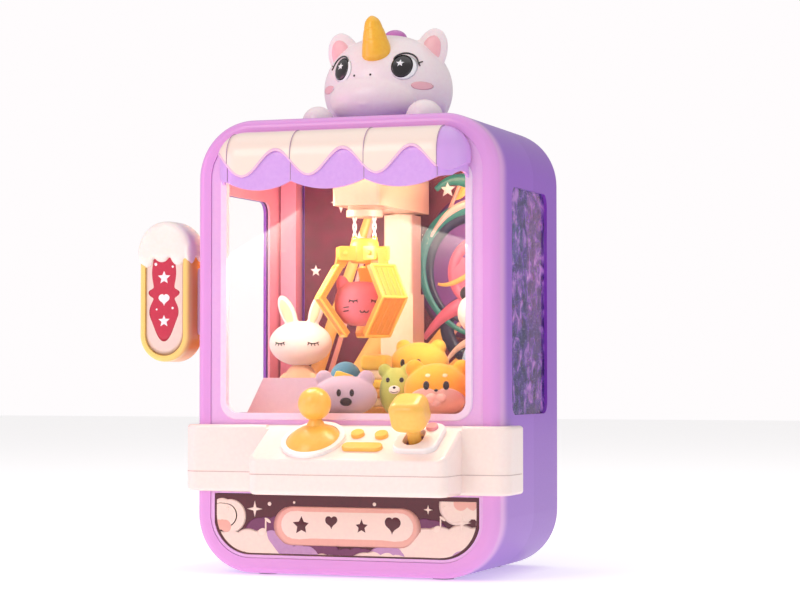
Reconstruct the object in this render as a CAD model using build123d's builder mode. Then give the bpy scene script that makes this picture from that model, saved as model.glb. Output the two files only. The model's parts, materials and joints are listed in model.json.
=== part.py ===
from build123d import *
import os
from math import cos, pi, radians, sin, tan

# A table-top claw crane machine, in millimetres.
# +Z is up, the front with the controls faces -Y, and the origin is on the ground under the
# middle of the cabinet.

# Cabinet
CAB_W = 240
CAB_TOP = 344
CAB_BOTTOM = 1.5
FRONT_Y = -81.5
BACK_Y = 81.5
SPLIT_Y = 9.5
CORNER_R = 44
WALL = 2.4
END_WALL = 3
RING = 11.6
INNER_X = CAB_W / 2 - WALL

# Front panel, its window and the prize flap
FASCIA_Y = -80.7
FASCIA_T = 2.5
WINDOW_W = 195
WINDOW_LOW = 120
WINDOW_HIGH = 306
WINDOW_R = 11
FLAP_W = 209.4
FLAP_LOW = 15.5
FLAP_HIGH = 61
FLAP_INSET = 14.6
FLAP_HINGE_Y = -76.5
FLAP_HINGE_Z = 59.5
PIN_R = 1.5
FIT = 0.05

# Side windows
SIDE_WIN_D = 93.5
SIDE_WIN_LOW = 121
SIDE_WIN_HIGH = 291
SIDE_WIN_R = 9

# Play floor and prize chute
DECK_Z = 119
DECK_T = 2.5
CHUTE_X = (-98, -36)
CHUTE_Y = (-42, -4)
BAY_TOP = 64
GUARD_TOP = 148.5

# Console
CON_LOW = 63
CON_SPLIT = 78
CON_TOP = 113.5
WING_X = 129
WING_Y = -87.5
WING_BACK = -49
BLOCK_X = (-60, 94)
BLOCK_Y = -125
BLOCK_R = 8
SLOPE_DEG = 29.5
CON_WALL = 2.5

# Controls, placed on the console's slope: x, and distance below its top edge
LEFT_STICK = (-16, -23.6)
DOME_R = 27.8
DOME_DEPTH = 16.7
LEAN_DEG = 8.4
RIGHT_BEZEL = (66, -20.7)
RIGHT_STICK = (63, -22.4)
ROUND_LEFT = (16, -14.4)
ROUND_RIGHT = (35, -15.5)
BAR = (25.5, -32.8)
LAMP = (73, -9.8)
BUTTON_R = 5
LAMP_R = 4.5

# Crane
POST_Y = 48
POST = 24
POST_TOP = 277.5
ARM_LOW = 279
ARM_HIGH = 306
ARM_X = 19
ARM_Y = (-58, 60)
CLAW_Y = -38
HUB_LOW = 236
HUB_TOP = 254
FINGER_PIVOT = (16, 243)
FINGER_HALF = 12.5
FINGER_KNEE = (36, 209)
FINGER_WALL = 4.5
CHAIN_X = 8

SLOPE = Plane(
    origin=(0, FRONT_Y, CON_TOP),
    x_dir=(1, 0, 0),
    z_dir=(0, -sin(radians(SLOPE_DEG)), cos(radians(SLOPE_DEG))),
)


def save(builder, label):
    """Name a finished piece and write it to its own STEP file."""
    builder.part.label = label
    export_step(builder.part, f"parts/{label}.step")


def on_slope(spot, height):
    """Point at a control's spot, this far above the console's slope."""
    return SLOPE.from_local_coords((spot[0], spot[1], height))


def slope_plane(spot, height):
    """Plane parallel to the slope at a control's spot and height."""
    return Plane(on_slope(spot, height), x_dir=SLOPE.x_dir, z_dir=SLOPE.z_dir)


def block(low, high):
    """Box between two opposite corners, added to the active part."""
    size = [b - a for a, b in zip(low, high)]
    middle = [(a + b) / 2 for a, b in zip(low, high)]
    with Locations(tuple(middle)):
        Box(*size)


def hollow(low, high):
    """Box between two opposite corners, taken away from the active part."""
    size = [b - a for a, b in zip(low, high)]
    middle = [(a + b) / 2 for a, b in zip(low, high)]
    with Locations(tuple(middle)):
        Box(*size, mode=Mode.SUBTRACT)


def bar_x(x, y, z, radius, mode=Mode.ADD):
    """Round bar along X from x[0] to x[1]."""
    with Locations(Location(((x[0] + x[1]) / 2, y, z), (0, 90, 0))):
        Cylinder(radius, x[1] - x[0], mode=mode)


def upright(x, y, low, high, radius, mode=Mode.ADD):
    """Round bar along Z."""
    with Locations((x, y, (low + high) / 2)):
        Cylinder(radius, high - low, mode=mode)


def bean(x, y, z, halves, mode=Mode.ADD):
    """Ball stretched to three half widths about its centre."""
    with BuildPart() as ball:
        Sphere(1)
        scale(by=halves)
    add(ball.part.moved(Location((x, y, z))), mode=mode)


def egg(x, y, z, radius, half_length, mode=Mode.ADD):
    """Ellipsoid of revolution whose long axis lies along X."""
    bean(x, y, z, (half_length, radius, radius), mode)


def upright_egg(x, y, z, radius, half_height):
    """Ellipsoid of revolution that stands on its long axis."""
    bean(x, y, z, (radius, radius, half_height))


def cabinet_outline(inset):
    """Rounded upright rectangle of the cabinet, moved in by a distance."""
    with Locations((0, (CAB_TOP + CAB_BOTTOM) / 2)):
        RectangleRounded(
            CAB_W - 2 * inset, CAB_TOP - CAB_BOTTOM - 2 * inset, CORNER_R - inset
        )


def side_window_outline(margin):
    """Side window's outline on a YZ plane, grown by a margin."""
    with Locations((0, (SIDE_WIN_LOW + SIDE_WIN_HIGH) / 2)):
        RectangleRounded(
            SIDE_WIN_D + 2 * margin, SIDE_WIN_HIGH - SIDE_WIN_LOW + 2 * margin, SIDE_WIN_R
        )


def cut_side_windows():
    """Cut both side windows through the active part."""
    with BuildSketch(Plane.YZ.offset(-CAB_W / 2 - 1)) as outline:
        side_window_outline(0)
    extrude(outline.sketch, amount=CAB_W + 2, mode=Mode.SUBTRACT)


os.makedirs("parts", exist_ok=True)

# ---------------------------------------------------------------- cabinet shells

FOOT_SPOTS = [(0, 0), (-70, -58), (70, -58), (-70, 58), (70, 58)]
FOOT_PEG_R = 3

with BuildPart() as front_shell:
    with BuildSketch(Plane.XZ.offset(-SPLIT_Y)):
        cabinet_outline(0)
    extrude(amount=SPLIT_Y - FRONT_Y)
    fillet(front_shell.faces().sort_by(Axis.Y)[0].edges(), 6.5)
    with BuildSketch(Plane.XZ.offset(-SPLIT_Y)):
        cabinet_outline(WALL)
    extrude(amount=SPLIT_Y - FRONT_Y - END_WALL, mode=Mode.SUBTRACT)
    with BuildSketch(Plane.XZ.offset(-FRONT_Y - END_WALL - 1)):
        cabinet_outline(RING)
    extrude(amount=END_WALL + 2, mode=Mode.SUBTRACT)
    cut_side_windows()
    for foot_x, foot_y in FOOT_SPOTS[:3]:
        upright(foot_x, foot_y, 0, 5, FOOT_PEG_R, Mode.SUBTRACT)
save(front_shell, "front_shell")

DOOR_W = 195
DOOR_LOW = 117
DOOR_HIGH = 321
DOOR_HINGE = (-98, 84.8)
BATTERY_X = 46
BATTERY_Y = (16, 62)
SPEAKER = (-55, 62)
KNUCKLE_R = 3
KNUCKLE_Z = [(140, 152), (286, 298)]
SCREW_SPOTS = [(-96, 26), (96, 26), (-106, 100), (106, 100), (-62, 332), (62, 332)]

with BuildPart() as rear_shell:
    with BuildSketch(Plane.XZ.offset(-BACK_Y)):
        cabinet_outline(0)
    extrude(amount=BACK_Y - SPLIT_Y)
    fillet(rear_shell.faces().sort_by(Axis.Y)[-1].edges(), 8)
    with BuildSketch(Plane.XZ.offset(-BACK_Y + END_WALL)):
        cabinet_outline(WALL)
    extrude(amount=BACK_Y - END_WALL - SPLIT_Y, mode=Mode.SUBTRACT)
    cut_side_windows()
    hollow((-DOOR_W / 2 - 0.5, 60, DOOR_LOW - 0.5), (DOOR_W / 2 + 0.5, 90, DOOR_HIGH + 0.5))
    hollow((-BATTERY_X, BATTERY_Y[0], 0), (BATTERY_X, BATTERY_Y[1], 10))
    for low, high in KNUCKLE_Z:
        for near, far in ((low - 6, low - 0.3), (high + 0.3, high + 6)):
            upright(*DOOR_HINGE, near, far, KNUCKLE_R)
            block((-104, BACK_Y - END_WALL, near), (DOOR_HINGE[0] - 1, DOOR_HINGE[1], far))
        upright(*DOOR_HINGE, low - 4, high + 4, PIN_R)
    for row in range(4):
        z = SPEAKER[1] - 9 + 6 * row
        hollow((SPEAKER[0] - 14, 70, z - 1.2), (SPEAKER[0] + 14, 90, z + 1.2))
    for foot_x, foot_y in FOOT_SPOTS[3:]:
        upright(foot_x, foot_y, 0, 5, FOOT_PEG_R, Mode.SUBTRACT)
    for screw_x, screw_z in SCREW_SPOTS:
        with Locations(Location((screw_x, BACK_Y - END_WALL - 5, screw_z), (90, 0, 0))):
            Cylinder(4, 10)
        with Locations(Location((screw_x, BACK_Y - 8, screw_z), (90, 0, 0))):
            Cylinder(1.5, 20, mode=Mode.SUBTRACT)
save(rear_shell, "rear_shell")

with BuildPart() as fascia:
    with BuildSketch(Plane.XZ.offset(-FASCIA_Y - FASCIA_T)):
        cabinet_outline(RING + 0.2)
        with Locations((0, (WINDOW_LOW + WINDOW_HIGH) / 2)):
            RectangleRounded(
                WINDOW_W, WINDOW_HIGH - WINDOW_LOW, WINDOW_R, mode=Mode.SUBTRACT
            )
        with Locations((LEFT_STICK[0], 97)):
            RectangleRounded(52, 31, 12, mode=Mode.SUBTRACT)
    extrude(amount=FASCIA_T)
    with BuildSketch(Plane.XZ.offset(-FASCIA_Y - FASCIA_T)):
        cabinet_outline(FLAP_INSET - 0.5)
        with Locations((0, (FLAP_LOW + FLAP_HIGH) / 2)):
            Rectangle(FLAP_W + 1, FLAP_HIGH - FLAP_LOW + 1, mode=Mode.INTERSECT)
    extrude(amount=FASCIA_T, mode=Mode.SUBTRACT)
    ear_x = FLAP_W / 2 + 0.6
    for low, high in ((-ear_x - 3, -ear_x), (ear_x, ear_x + 3)):
        block((low, FASCIA_Y + FASCIA_T, 55), (high, -73, 64))
        bar_x((low - 1, high + 1), FLAP_HINGE_Y, FLAP_HINGE_Z, PIN_R + FIT, Mode.SUBTRACT)
save(fascia, "fascia")

with BuildPart() as window_lip:
    with BuildSketch(Plane.XZ.offset(-FASCIA_Y)):
        with Locations((0, (WINDOW_LOW + WINDOW_HIGH) / 2)):
            RectangleRounded(WINDOW_W + 6, WINDOW_HIGH - WINDOW_LOW + 6, WINDOW_R + 3)
    extrude(amount=1.5)
    chamfer(window_lip.faces().sort_by(Axis.Y)[0].edges(), 0.8)
    with BuildSketch(Plane.XZ.offset(-FASCIA_Y - 3.7)):
        with Locations((0, (WINDOW_LOW + WINDOW_HIGH) / 2)):
            RectangleRounded(WINDOW_W - 0.4, WINDOW_HIGH - WINDOW_LOW - 0.4, WINDOW_R)
    extrude(amount=4)
    with BuildSketch(Plane.XZ.offset(-FASCIA_Y - 4)):
        with Locations((0, (WINDOW_LOW + WINDOW_HIGH) / 2)):
            RectangleRounded(WINDOW_W - 4.4, WINDOW_HIGH - WINDOW_LOW - 4.4, WINDOW_R - 2)
    extrude(amount=8, mode=Mode.SUBTRACT)
save(window_lip, "window_lip")

with BuildPart() as window_pane:
    with BuildSketch(Plane.XZ.offset(75.4)):
        with Locations((0, (WINDOW_LOW + WINDOW_HIGH) / 2)):
            RectangleRounded(WINDOW_W + 4, WINDOW_HIGH - WINDOW_LOW + 3, WINDOW_R)
    extrude(amount=1.6)
save(window_pane, "window_pane")

PANE_X = 116
with BuildPart() as side_panes:
    for side in (-1, 1):
        with BuildSketch(Plane.YZ.offset(side * PANE_X)):
            side_window_outline(1.5)
        extrude(amount=side * (INNER_X - PANE_X))
save(side_panes, "side_panes")

LINER_T = 1.8
LINER_TOP = 310
with BuildPart() as inner_liner:
    for side in (-1, 1):
        with BuildSketch(Plane.YZ.offset(side * (PANE_X - LINER_T))):
            with Locations((2, (DECK_Z + LINER_TOP) / 2)):
                Rectangle(150, LINER_TOP - DECK_Z - 0.4)
            with Locations((0, (SIDE_WIN_LOW + SIDE_WIN_HIGH) / 2)):
                RectangleRounded(
                    SIDE_WIN_D, SIDE_WIN_HIGH - SIDE_WIN_LOW, SIDE_WIN_R, mode=Mode.SUBTRACT
                )
        extrude(amount=side * LINER_T)
    for low, high in ((-112, -98.5), (98.5, 112)):
        block((low, 64, DECK_Z + 0.2), (high, 78, 318))
save(inner_liner, "inner_liner")

with BuildPart() as feet:
    for foot_x, foot_y in FOOT_SPOTS:
        upright(foot_x, foot_y, 0, CAB_BOTTOM, 8)
        upright(foot_x, foot_y, CAB_BOTTOM, 5, FOOT_PEG_R)
save(feet, "rubber_feet")

with BuildPart() as case_screws:
    for screw_x, screw_z in SCREW_SPOTS:
        with Locations(Location((screw_x, BACK_Y - 6, screw_z), (90, 0, 0))):
            Cylinder(1.5, 12)
        with Locations(Location((screw_x, BACK_Y + 0.6, screw_z), (90, 0, 0))):
            Cylinder(3.2, 1.2)
        hollow((screw_x - 2, BACK_Y + 0.6, screw_z - 0.4), (screw_x + 2, 90, screw_z + 0.4))
        hollow((screw_x - 0.4, BACK_Y + 0.6, screw_z - 2), (screw_x + 0.4, 90, screw_z + 2))
save(case_screws, "case_screws")

# ---------------------------------------------------------------- inside the base

with BuildPart() as play_deck:
    block((-INNER_X, -74.5, DECK_Z - DECK_T), (INNER_X, 70, DECK_Z))
    hollow((CHUTE_X[0], CHUTE_Y[0], 100), (CHUTE_X[1], CHUTE_Y[1], 130))
    for board_x in (-12, 62):
        for board_y in (14, 54):
            upright(board_x, board_y, 95.6, DECK_Z - DECK_T, 3)
save(play_deck, "play_deck")

with BuildPart() as chute_duct:
    block(
        (CHUTE_X[0] - 2, CHUTE_Y[0] - 2, BAY_TOP),
        (CHUTE_X[1] + 2, CHUTE_Y[1] + 2, DECK_Z - DECK_T),
    )
    hollow((CHUTE_X[0], CHUTE_Y[0], 50), (CHUTE_X[1], CHUTE_Y[1], 130))
save(chute_duct, "chute_duct")

GUARD_T = 2
with BuildPart() as chute_guard:
    with BuildSketch(Plane.XZ.offset(-CHUTE_Y[0])):
        with BuildLine():
            Polyline(
                (CHUTE_X[0] + 2, DECK_Z),
                (CHUTE_X[0] + 17, GUARD_TOP),
                (CHUTE_X[1] + GUARD_T, GUARD_TOP),
                (CHUTE_X[1] + GUARD_T, DECK_Z),
                close=True,
            )
        make_face()
    extrude(amount=GUARD_T)
    block((CHUTE_X[1], CHUTE_Y[0], DECK_Z), (CHUTE_X[1] + GUARD_T, CHUTE_Y[1], GUARD_TOP))
    block(
        (CHUTE_X[0], CHUTE_Y[1], DECK_Z),
        (CHUTE_X[1] + GUARD_T, CHUTE_Y[1] + GUARD_T, GUARD_TOP),
    )
save(chute_guard, "chute_guard")

BAY_X = 106.2
BAY_BACK = -2
RAMP_FRONT = 5
RAMP_BACK = 18
with BuildPart() as prize_tray:
    with BuildSketch(Plane.YZ.offset(-BAY_X)):
        with BuildLine():
            Polyline(
                (-72.5, 4),
                (-72.5, RAMP_FRONT + 2),
                (BAY_BACK - 2, RAMP_BACK),
                (BAY_BACK - 2, BAY_TOP),
                (BAY_BACK, BAY_TOP),
                (BAY_BACK, RAMP_BACK - 3),
                (-68, 4),
                close=True,
            )
        make_face()
    extrude(amount=2 * BAY_X)
    for low, high in ((-BAY_X - 1.6, -BAY_X), (BAY_X, BAY_X + 1.6)):
        with BuildSketch(Plane.YZ.offset(low)):
            with BuildLine():
                Polyline((-72.5, 12), (-72.5, BAY_TOP), (BAY_BACK, BAY_TOP), (BAY_BACK, 12), close=True)
            make_face()
        extrude(amount=high - low)
    with BuildSketch(Plane.XZ):
        cabinet_outline(WALL)
    extrude(amount=90, mode=Mode.INTERSECT)
save(prize_tray, "prize_tray")

with BuildPart() as battery_box:
    block((-BATTERY_X + 2, BATTERY_Y[0] + 2, 4.2), (BATTERY_X - 2, BATTERY_Y[1] - 2, 30))
    hollow((-BATTERY_X + 4, BATTERY_Y[0] + 4, 4), (BATTERY_X - 4, BATTERY_Y[1] - 4, 28))
save(battery_box, "battery_box")

with BuildPart() as battery_cover:
    block((-BATTERY_X + 0.4, BATTERY_Y[0] + 0.4, 1.6), (BATTERY_X - 0.4, BATTERY_Y[1] - 0.4, 4))
    with GridLocations(8, 1, 9, 1):
        with Locations((0, (BATTERY_Y[0] + BATTERY_Y[1]) / 2, 1.8)):
            Box(2, 34, 0.6, mode=Mode.SUBTRACT)
save(battery_cover, "battery_cover")

with BuildPart() as main_board:
    block((-17, 9, 94), (67, 59, 95.6))
    block((0, 20, 92), (16, 36, 94))
    block((30, 14, 90), (44, 22, 94))
    block((50, 30, 91.5), (62, 44, 94))
    upright(28, 46, 86, 94, 4)
save(main_board, "main_board")

with BuildPart() as speaker:
    with Locations(Location((SPEAKER[0], BACK_Y - END_WALL - 1.5, SPEAKER[1]), (90, 0, 0))):
        Cylinder(20, 3)
    with Locations(Location((SPEAKER[0], BACK_Y - END_WALL - 9, SPEAKER[1]), (90, 0, 0))):
        Cylinder(11, 12)
save(speaker, "speaker")

LAMP_Z = 334
with BuildPart() as ceiling_lamp:
    block((-60, -60, LAMP_Z), (60, -22, LAMP_Z + 4))
    fillet(ceiling_lamp.faces().sort_by(Axis.Z)[0].edges(), 1.2)
    for post_x in (-48, 48):
        upright(post_x, -41, LAMP_Z + 4, CAB_TOP - WALL, 3)
save(ceiling_lamp, "ceiling_lamp")

# ---------------------------------------------------------------- console

SLOPE_DROP = (FRONT_Y - BLOCK_Y) * tan(radians(SLOPE_DEG))


def side_profile(wall):
    """Console block's outline on a YZ plane, moved in by the wall's thickness."""
    drop = wall / cos(radians(SLOPE_DEG))
    Polygon(
        (FRONT_Y, CON_LOW + wall),
        (BLOCK_Y + wall, CON_LOW + wall),
        (BLOCK_Y + wall, CON_TOP - SLOPE_DROP + wall * tan(radians(SLOPE_DEG)) - drop),
        (FRONT_Y, CON_TOP - drop),
        align=None,
    )


def console_solid():
    """Both halves of the console in one: wings round the cabinet, a hollow block in front."""
    with BuildPart() as wings:
        block((-WING_X, WING_Y, CON_LOW), (WING_X, WING_BACK, CON_TOP))
        fillet(wings.edges().filter_by(Axis.Z).group_by(Axis.Y)[0], 12)
        fillet(wings.faces().sort_by(Axis.Z)[-1].edges(), 2.5)
        fillet(wings.faces().sort_by(Axis.Z)[0].edges(), 2.5)
    with BuildPart() as front:
        with BuildSketch(Plane.YZ.offset(BLOCK_X[0])):
            side_profile(0)
        extrude(amount=BLOCK_X[1] - BLOCK_X[0])
        fillet(front.edges().filter_by(Axis.Z).group_by(Axis.Y)[0], BLOCK_R)
        fillet(front.faces().sort_by(Axis.Y)[0].edges().filter_by(Axis.X), 3.5)
    with BuildPart() as cavity:
        with BuildSketch(Plane.YZ.offset(BLOCK_X[0] + CON_WALL)):
            side_profile(CON_WALL)
        extrude(amount=BLOCK_X[1] - BLOCK_X[0] - 2 * CON_WALL)
        fillet(cavity.edges().filter_by(Axis.Z).group_by(Axis.Y)[0], BLOCK_R - CON_WALL)
    with BuildPart() as cabinet_space:
        with BuildSketch(Plane.XY.offset(CON_LOW - 5)):
            with Locations((0, (FRONT_Y + 100) / 2)):
                Rectangle(CAB_W + 0.2, 100 - FRONT_Y)
        extrude(amount=CON_TOP - CON_LOW + 10)
        fillet(cabinet_space.edges().filter_by(Axis.Z).group_by(Axis.Y)[0], 6)
    with BuildPart() as above_slope:
        with BuildSketch(Plane.YZ.offset(BLOCK_X[0])):
            Polygon(
                (FRONT_Y + 1, CON_TOP + 0.6),
                (FRONT_Y + 1, CON_TOP + 9),
                (BLOCK_Y, CON_TOP + 9),
                (BLOCK_Y, CON_TOP - SLOPE_DROP),
                (FRONT_Y, CON_TOP),
                align=None,
            )
        extrude(amount=BLOCK_X[1] - BLOCK_X[0])
    with BuildPart() as whole:
        add(wings.part)
        add(above_slope.part, mode=Mode.SUBTRACT)
        add(front.part)
        add(cabinet_space.part, mode=Mode.SUBTRACT)
        add(cavity.part, mode=Mode.SUBTRACT)
    return whole.part


CONSOLE = console_solid()

DOME_CENTRE = on_slope(LEFT_STICK, -DOME_DEPTH)
DOME_GAP = 0.3
SLOT_R = 7.5
SLOT_REACH = 4


def slot_outline():
    """Oval that the right stick moves in, up and down the slope."""
    SlotCenterToCenter(2 * SLOT_REACH, 2 * SLOT_R, rotation=90)


with BuildPart() as console_top:
    add(CONSOLE)
    split(bisect_by=Plane.XY.offset(CON_SPLIT), keep=Keep.TOP)
    with Locations(DOME_CENTRE):
        Sphere(DOME_R + DOME_GAP, mode=Mode.SUBTRACT)
    with BuildSketch(slope_plane(RIGHT_STICK, -4)):
        slot_outline()
    extrude(amount=8, mode=Mode.SUBTRACT)
    for spot, radius in ((ROUND_LEFT, BUTTON_R), (ROUND_RIGHT, BUTTON_R), (LAMP, LAMP_R)):
        with BuildSketch(slope_plane(spot, -4)):
            Circle(radius + 0.1)
        extrude(amount=8, mode=Mode.SUBTRACT)
    with BuildSketch(slope_plane(BAR, -4)):
        RectangleRounded(31.2, 9.2, 4.5)
    extrude(amount=8, mode=Mode.SUBTRACT)
save(console_top, "console_top")

with BuildPart() as console_bottom:
    add(CONSOLE)
    split(bisect_by=Plane.XY.offset(CON_SPLIT), keep=Keep.BOTTOM)
save(console_bottom, "console_bottom")

with BuildPart() as dome_ring:
    with BuildSketch(slope_plane(LEFT_STICK, 0)):
        Circle(24)
    extrude(amount=3)
    with Locations(DOME_CENTRE):
        Sphere(DOME_R + DOME_GAP, mode=Mode.SUBTRACT)
save(dome_ring, "dome_ring")

with BuildPart() as stick_bezel:
    with BuildSketch(slope_plane(RIGHT_BEZEL, 0)):
        RectangleRounded(34, 38, 9)
    extrude(amount=4)
    fillet(stick_bezel.faces().sort_by(Axis((0, 0, 0), SLOPE.z_dir))[-1].edges(), 1.6)
    with BuildSketch(slope_plane(RIGHT_STICK, -1)):
        slot_outline()
    extrude(amount=8, mode=Mode.SUBTRACT)
    with BuildSketch(slope_plane(LAMP, -1)):
        Circle(LAMP_R + 0.1)
    extrude(amount=8, mode=Mode.SUBTRACT)
save(stick_bezel, "stick_bezel")

BOARD_X = (11.5, 46)
BOARD_V = (-40, -6)
BOARD_DEPTH = 9.6
SWITCH_DEPTH = 6.5

with BuildPart() as button_board:
    with BuildSketch(SLOPE.offset(-BOARD_DEPTH)):
        with Locations((sum(BOARD_X) / 2, sum(BOARD_V) / 2)):
            Rectangle(BOARD_X[1] - BOARD_X[0], BOARD_V[1] - BOARD_V[0])
        with Locations((LAMP[0] + 0.5, LAMP[1])):
            Rectangle(9, 7.5)
    extrude(amount=1.6)
    with BuildSketch(SLOPE.offset(-BOARD_DEPTH)):
        with Locations(ROUND_LEFT, ROUND_RIGHT, BAR, LAMP):
            Circle(2.5)
    extrude(amount=BOARD_DEPTH - SWITCH_DEPTH)
save(button_board, "button_board")

RIGHT_PIVOT = on_slope(RIGHT_STICK, -12)
CON_FLOOR = CON_LOW + CON_WALL
POST_HALF = 4.2

with BuildPart() as stick_mounts:
    for pivot, near, far in ((DOME_CENTRE, 14.3, 17.3), (RIGHT_PIVOT, 6.3, 9.3)):
        block(
            (pivot.X - far - 2, pivot.Y - 10, CON_FLOOR),
            (pivot.X + far + 2, pivot.Y + 10, CON_FLOOR + 2),
        )
        for low, high in ((pivot.X - far, pivot.X - near), (pivot.X + near, pivot.X + far)):
            block(
                (low, pivot.Y - POST_HALF, CON_FLOOR),
                (high, pivot.Y + POST_HALF, pivot.Z + POST_HALF),
            )
            bar_x((low - 1, high + 1), pivot.Y, pivot.Z, PIN_R + FIT, Mode.SUBTRACT)
save(stick_mounts, "stick_mounts")

# ---------------------------------------------------------------- sticks and buttons

LEAN = radians(LEAN_DEG)
STICK_PLANE = Plane(DOME_CENTRE, x_dir=(1, 0, 0), z_dir=(0, -sin(LEAN), cos(LEAN)))
KNOB_REACH = 42.55
KNOB_R = 12.3
GIMBAL_IN = 7.5
GIMBAL_OUT = 11


def cross_pin(radius, half_length, mode=Mode.ADD):
    """Pin across the left stick, at right angles to the gimbal's own pins."""
    with BuildSketch(Plane(DOME_CENTRE, x_dir=(1, 0, 0), z_dir=STICK_PLANE.y_dir)) as end:
        Circle(radius)
    extrude(end.sketch, amount=half_length, both=True, mode=mode)


with BuildPart() as left_gimbal:
    with BuildSketch(STICK_PLANE.offset(-3)):
        Circle(GIMBAL_OUT)
        Circle(GIMBAL_IN, mode=Mode.SUBTRACT)
    extrude(amount=6)
    for side in (-1, 1):
        ends = sorted((DOME_CENTRE.X + side * 9.5, DOME_CENTRE.X + side * 17))
        bar_x(ends, DOME_CENTRE.Y, DOME_CENTRE.Z, PIN_R)
    cross_pin(PIN_R + FIT, 14, Mode.SUBTRACT)
save(left_gimbal, "left_gimbal")

DOME_T = 1.6
DOME_HALF_DEG = 60

with BuildPart() as left_stick:
    with BuildSketch(Plane(DOME_CENTRE, x_dir=(1, 0, 0), z_dir=(0, -SLOPE.z_dir.Z, SLOPE.z_dir.Y))):
        with BuildLine():
            inner_r = DOME_R - DOME_T
            outer = CenterArc((0, 0), DOME_R, 90 - DOME_HALF_DEG, DOME_HALF_DEG)
            inner = CenterArc((0, 0), inner_r, 90 - DOME_HALF_DEG, DOME_HALF_DEG)
            Line(outer @ 0, inner @ 0)
            Line(outer @ 1, inner @ 1)
        make_face()
    revolve(axis=Axis(DOME_CENTRE, SLOPE.z_dir))
    with BuildSketch(STICK_PLANE.offset(-6)):
        Circle(3.4)
    extrude(amount=6 + KNOB_REACH - KNOB_R + 1)
    with BuildSketch(STICK_PLANE.offset(26)):
        Circle(7.5)
    with BuildSketch(STICK_PLANE.offset(KNOB_REACH - KNOB_R + 1.2)):
        Circle(4.4)
    loft()
    with Locations(DOME_CENTRE):
        Sphere(5)
    cross_pin(PIN_R, GIMBAL_OUT - 0.3)
    with Locations(STICK_PLANE.from_local_coords((0, 0, KNOB_REACH))):
        Sphere(KNOB_R, mode=Mode.SUBTRACT)
save(left_stick, "left_stick")

with BuildPart() as left_knob:
    with Locations(STICK_PLANE.from_local_coords((0, 0, KNOB_REACH))):
        Sphere(KNOB_R)
save(left_knob, "left_knob")

RIGHT_PLANE = Plane(RIGHT_PIVOT, x_dir=(1, 0, 0), z_dir=SLOPE.z_dir)
RIGHT_KNOB = (27, 27, 23)
RIGHT_REACH = 36

with BuildPart() as right_stick:
    with BuildSketch(RIGHT_PLANE.offset(RIGHT_REACH - RIGHT_KNOB[2] / 2)):
        RectangleRounded(RIGHT_KNOB[0], RIGHT_KNOB[1], 9)
    extrude(amount=RIGHT_KNOB[2])
    knob_faces = right_stick.faces().sort_by(Axis((0, 0, 0), SLOPE.z_dir))
    fillet(knob_faces[0].edges() + knob_faces[-1].edges(), 7)
    with BuildSketch(RIGHT_PLANE.offset(-8)):
        Circle(5)
    extrude(amount=8 + RIGHT_REACH - RIGHT_KNOB[2] / 2 + 2)
    bar_x((RIGHT_PIVOT.X - 9, RIGHT_PIVOT.X + 9), RIGHT_PIVOT.Y, RIGHT_PIVOT.Z, PIN_R)
save(right_stick, "right_stick")

BUTTON_FOOT = 4.8
FLANGE_DEPTH = 2.8
BUTTON_RISE = 3

for label, spot, radius, rise in (
    ("round_button_left", ROUND_LEFT, BUTTON_R, BUTTON_RISE),
    ("round_button_right", ROUND_RIGHT, BUTTON_R, BUTTON_RISE),
    ("lamp_button", LAMP, LAMP_R, 6.5),
):
    with BuildPart() as button:
        with BuildSketch(slope_plane(spot, -BUTTON_FOOT)):
            Circle(radius)
        extrude(amount=BUTTON_FOOT + rise)
        fillet(button.faces().sort_by(Axis((0, 0, 0), SLOPE.z_dir))[-1].edges(), 1)
        with BuildSketch(slope_plane(spot, -BUTTON_FOOT)):
            Circle(radius + 1)
        extrude(amount=BUTTON_FOOT - FLANGE_DEPTH)
    save(button, label)

with BuildPart() as bar_button:
    with BuildSketch(slope_plane(BAR, -BUTTON_FOOT)):
        RectangleRounded(31, 9, 4.4)
    extrude(amount=BUTTON_FOOT + BUTTON_RISE)
    fillet(bar_button.faces().sort_by(Axis((0, 0, 0), SLOPE.z_dir))[-1].edges(), 1)
    with BuildSketch(slope_plane(BAR, -BUTTON_FOOT)):
        RectangleRounded(33, 11, 5.4)
    extrude(amount=BUTTON_FOOT - FLANGE_DEPTH)
save(bar_button, "bar_button")

# ---------------------------------------------------------------- awning

AWNING_X = 98
AWNING_Y = -105.5
AWNING_BACK = -82.3
AWNING_TOP = 332
AWNING_LOW = 284
AWNING_T = 2
SEAMS = [-85, -33.4, 24.8, 81.4]
CUSP_Z = 294.5
DIP_Z = 288
DRIP_PITCH = 53.5
DRIP_PEAK_X = 8.3
DRIP_Z = 308.5
DRIP_RISE = 9.5


def awning_block(inset):
    """Round-shouldered block whose skin is the awning, moved in by a distance."""
    with BuildPart() as dome:
        block(
            (-AWNING_X + inset, AWNING_Y + inset, AWNING_LOW - 5),
            (AWNING_X - inset, AWNING_BACK, AWNING_TOP - inset),
        )
        fillet(dome.edges().filter_by(Axis.Z).group_by(Axis.Y)[0], 21 - inset)
        top = dome.faces().sort_by(Axis.Z)[-1]
        fillet(top.edges().sort_by(Axis.Y)[:-1], 20 - inset)
    return dome.part


def drip_line(x):
    """Height of the icing's lower edge: a cosine with one drip in every pitch."""
    return DRIP_Z + DRIP_RISE * cos(2 * pi * (x - DRIP_PEAK_X) / DRIP_PITCH)


AWNING_OUTER = awning_block(0)
AWNING_INNER = awning_block(AWNING_T)
ICING_OUTER = awning_block(-1.8)

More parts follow.
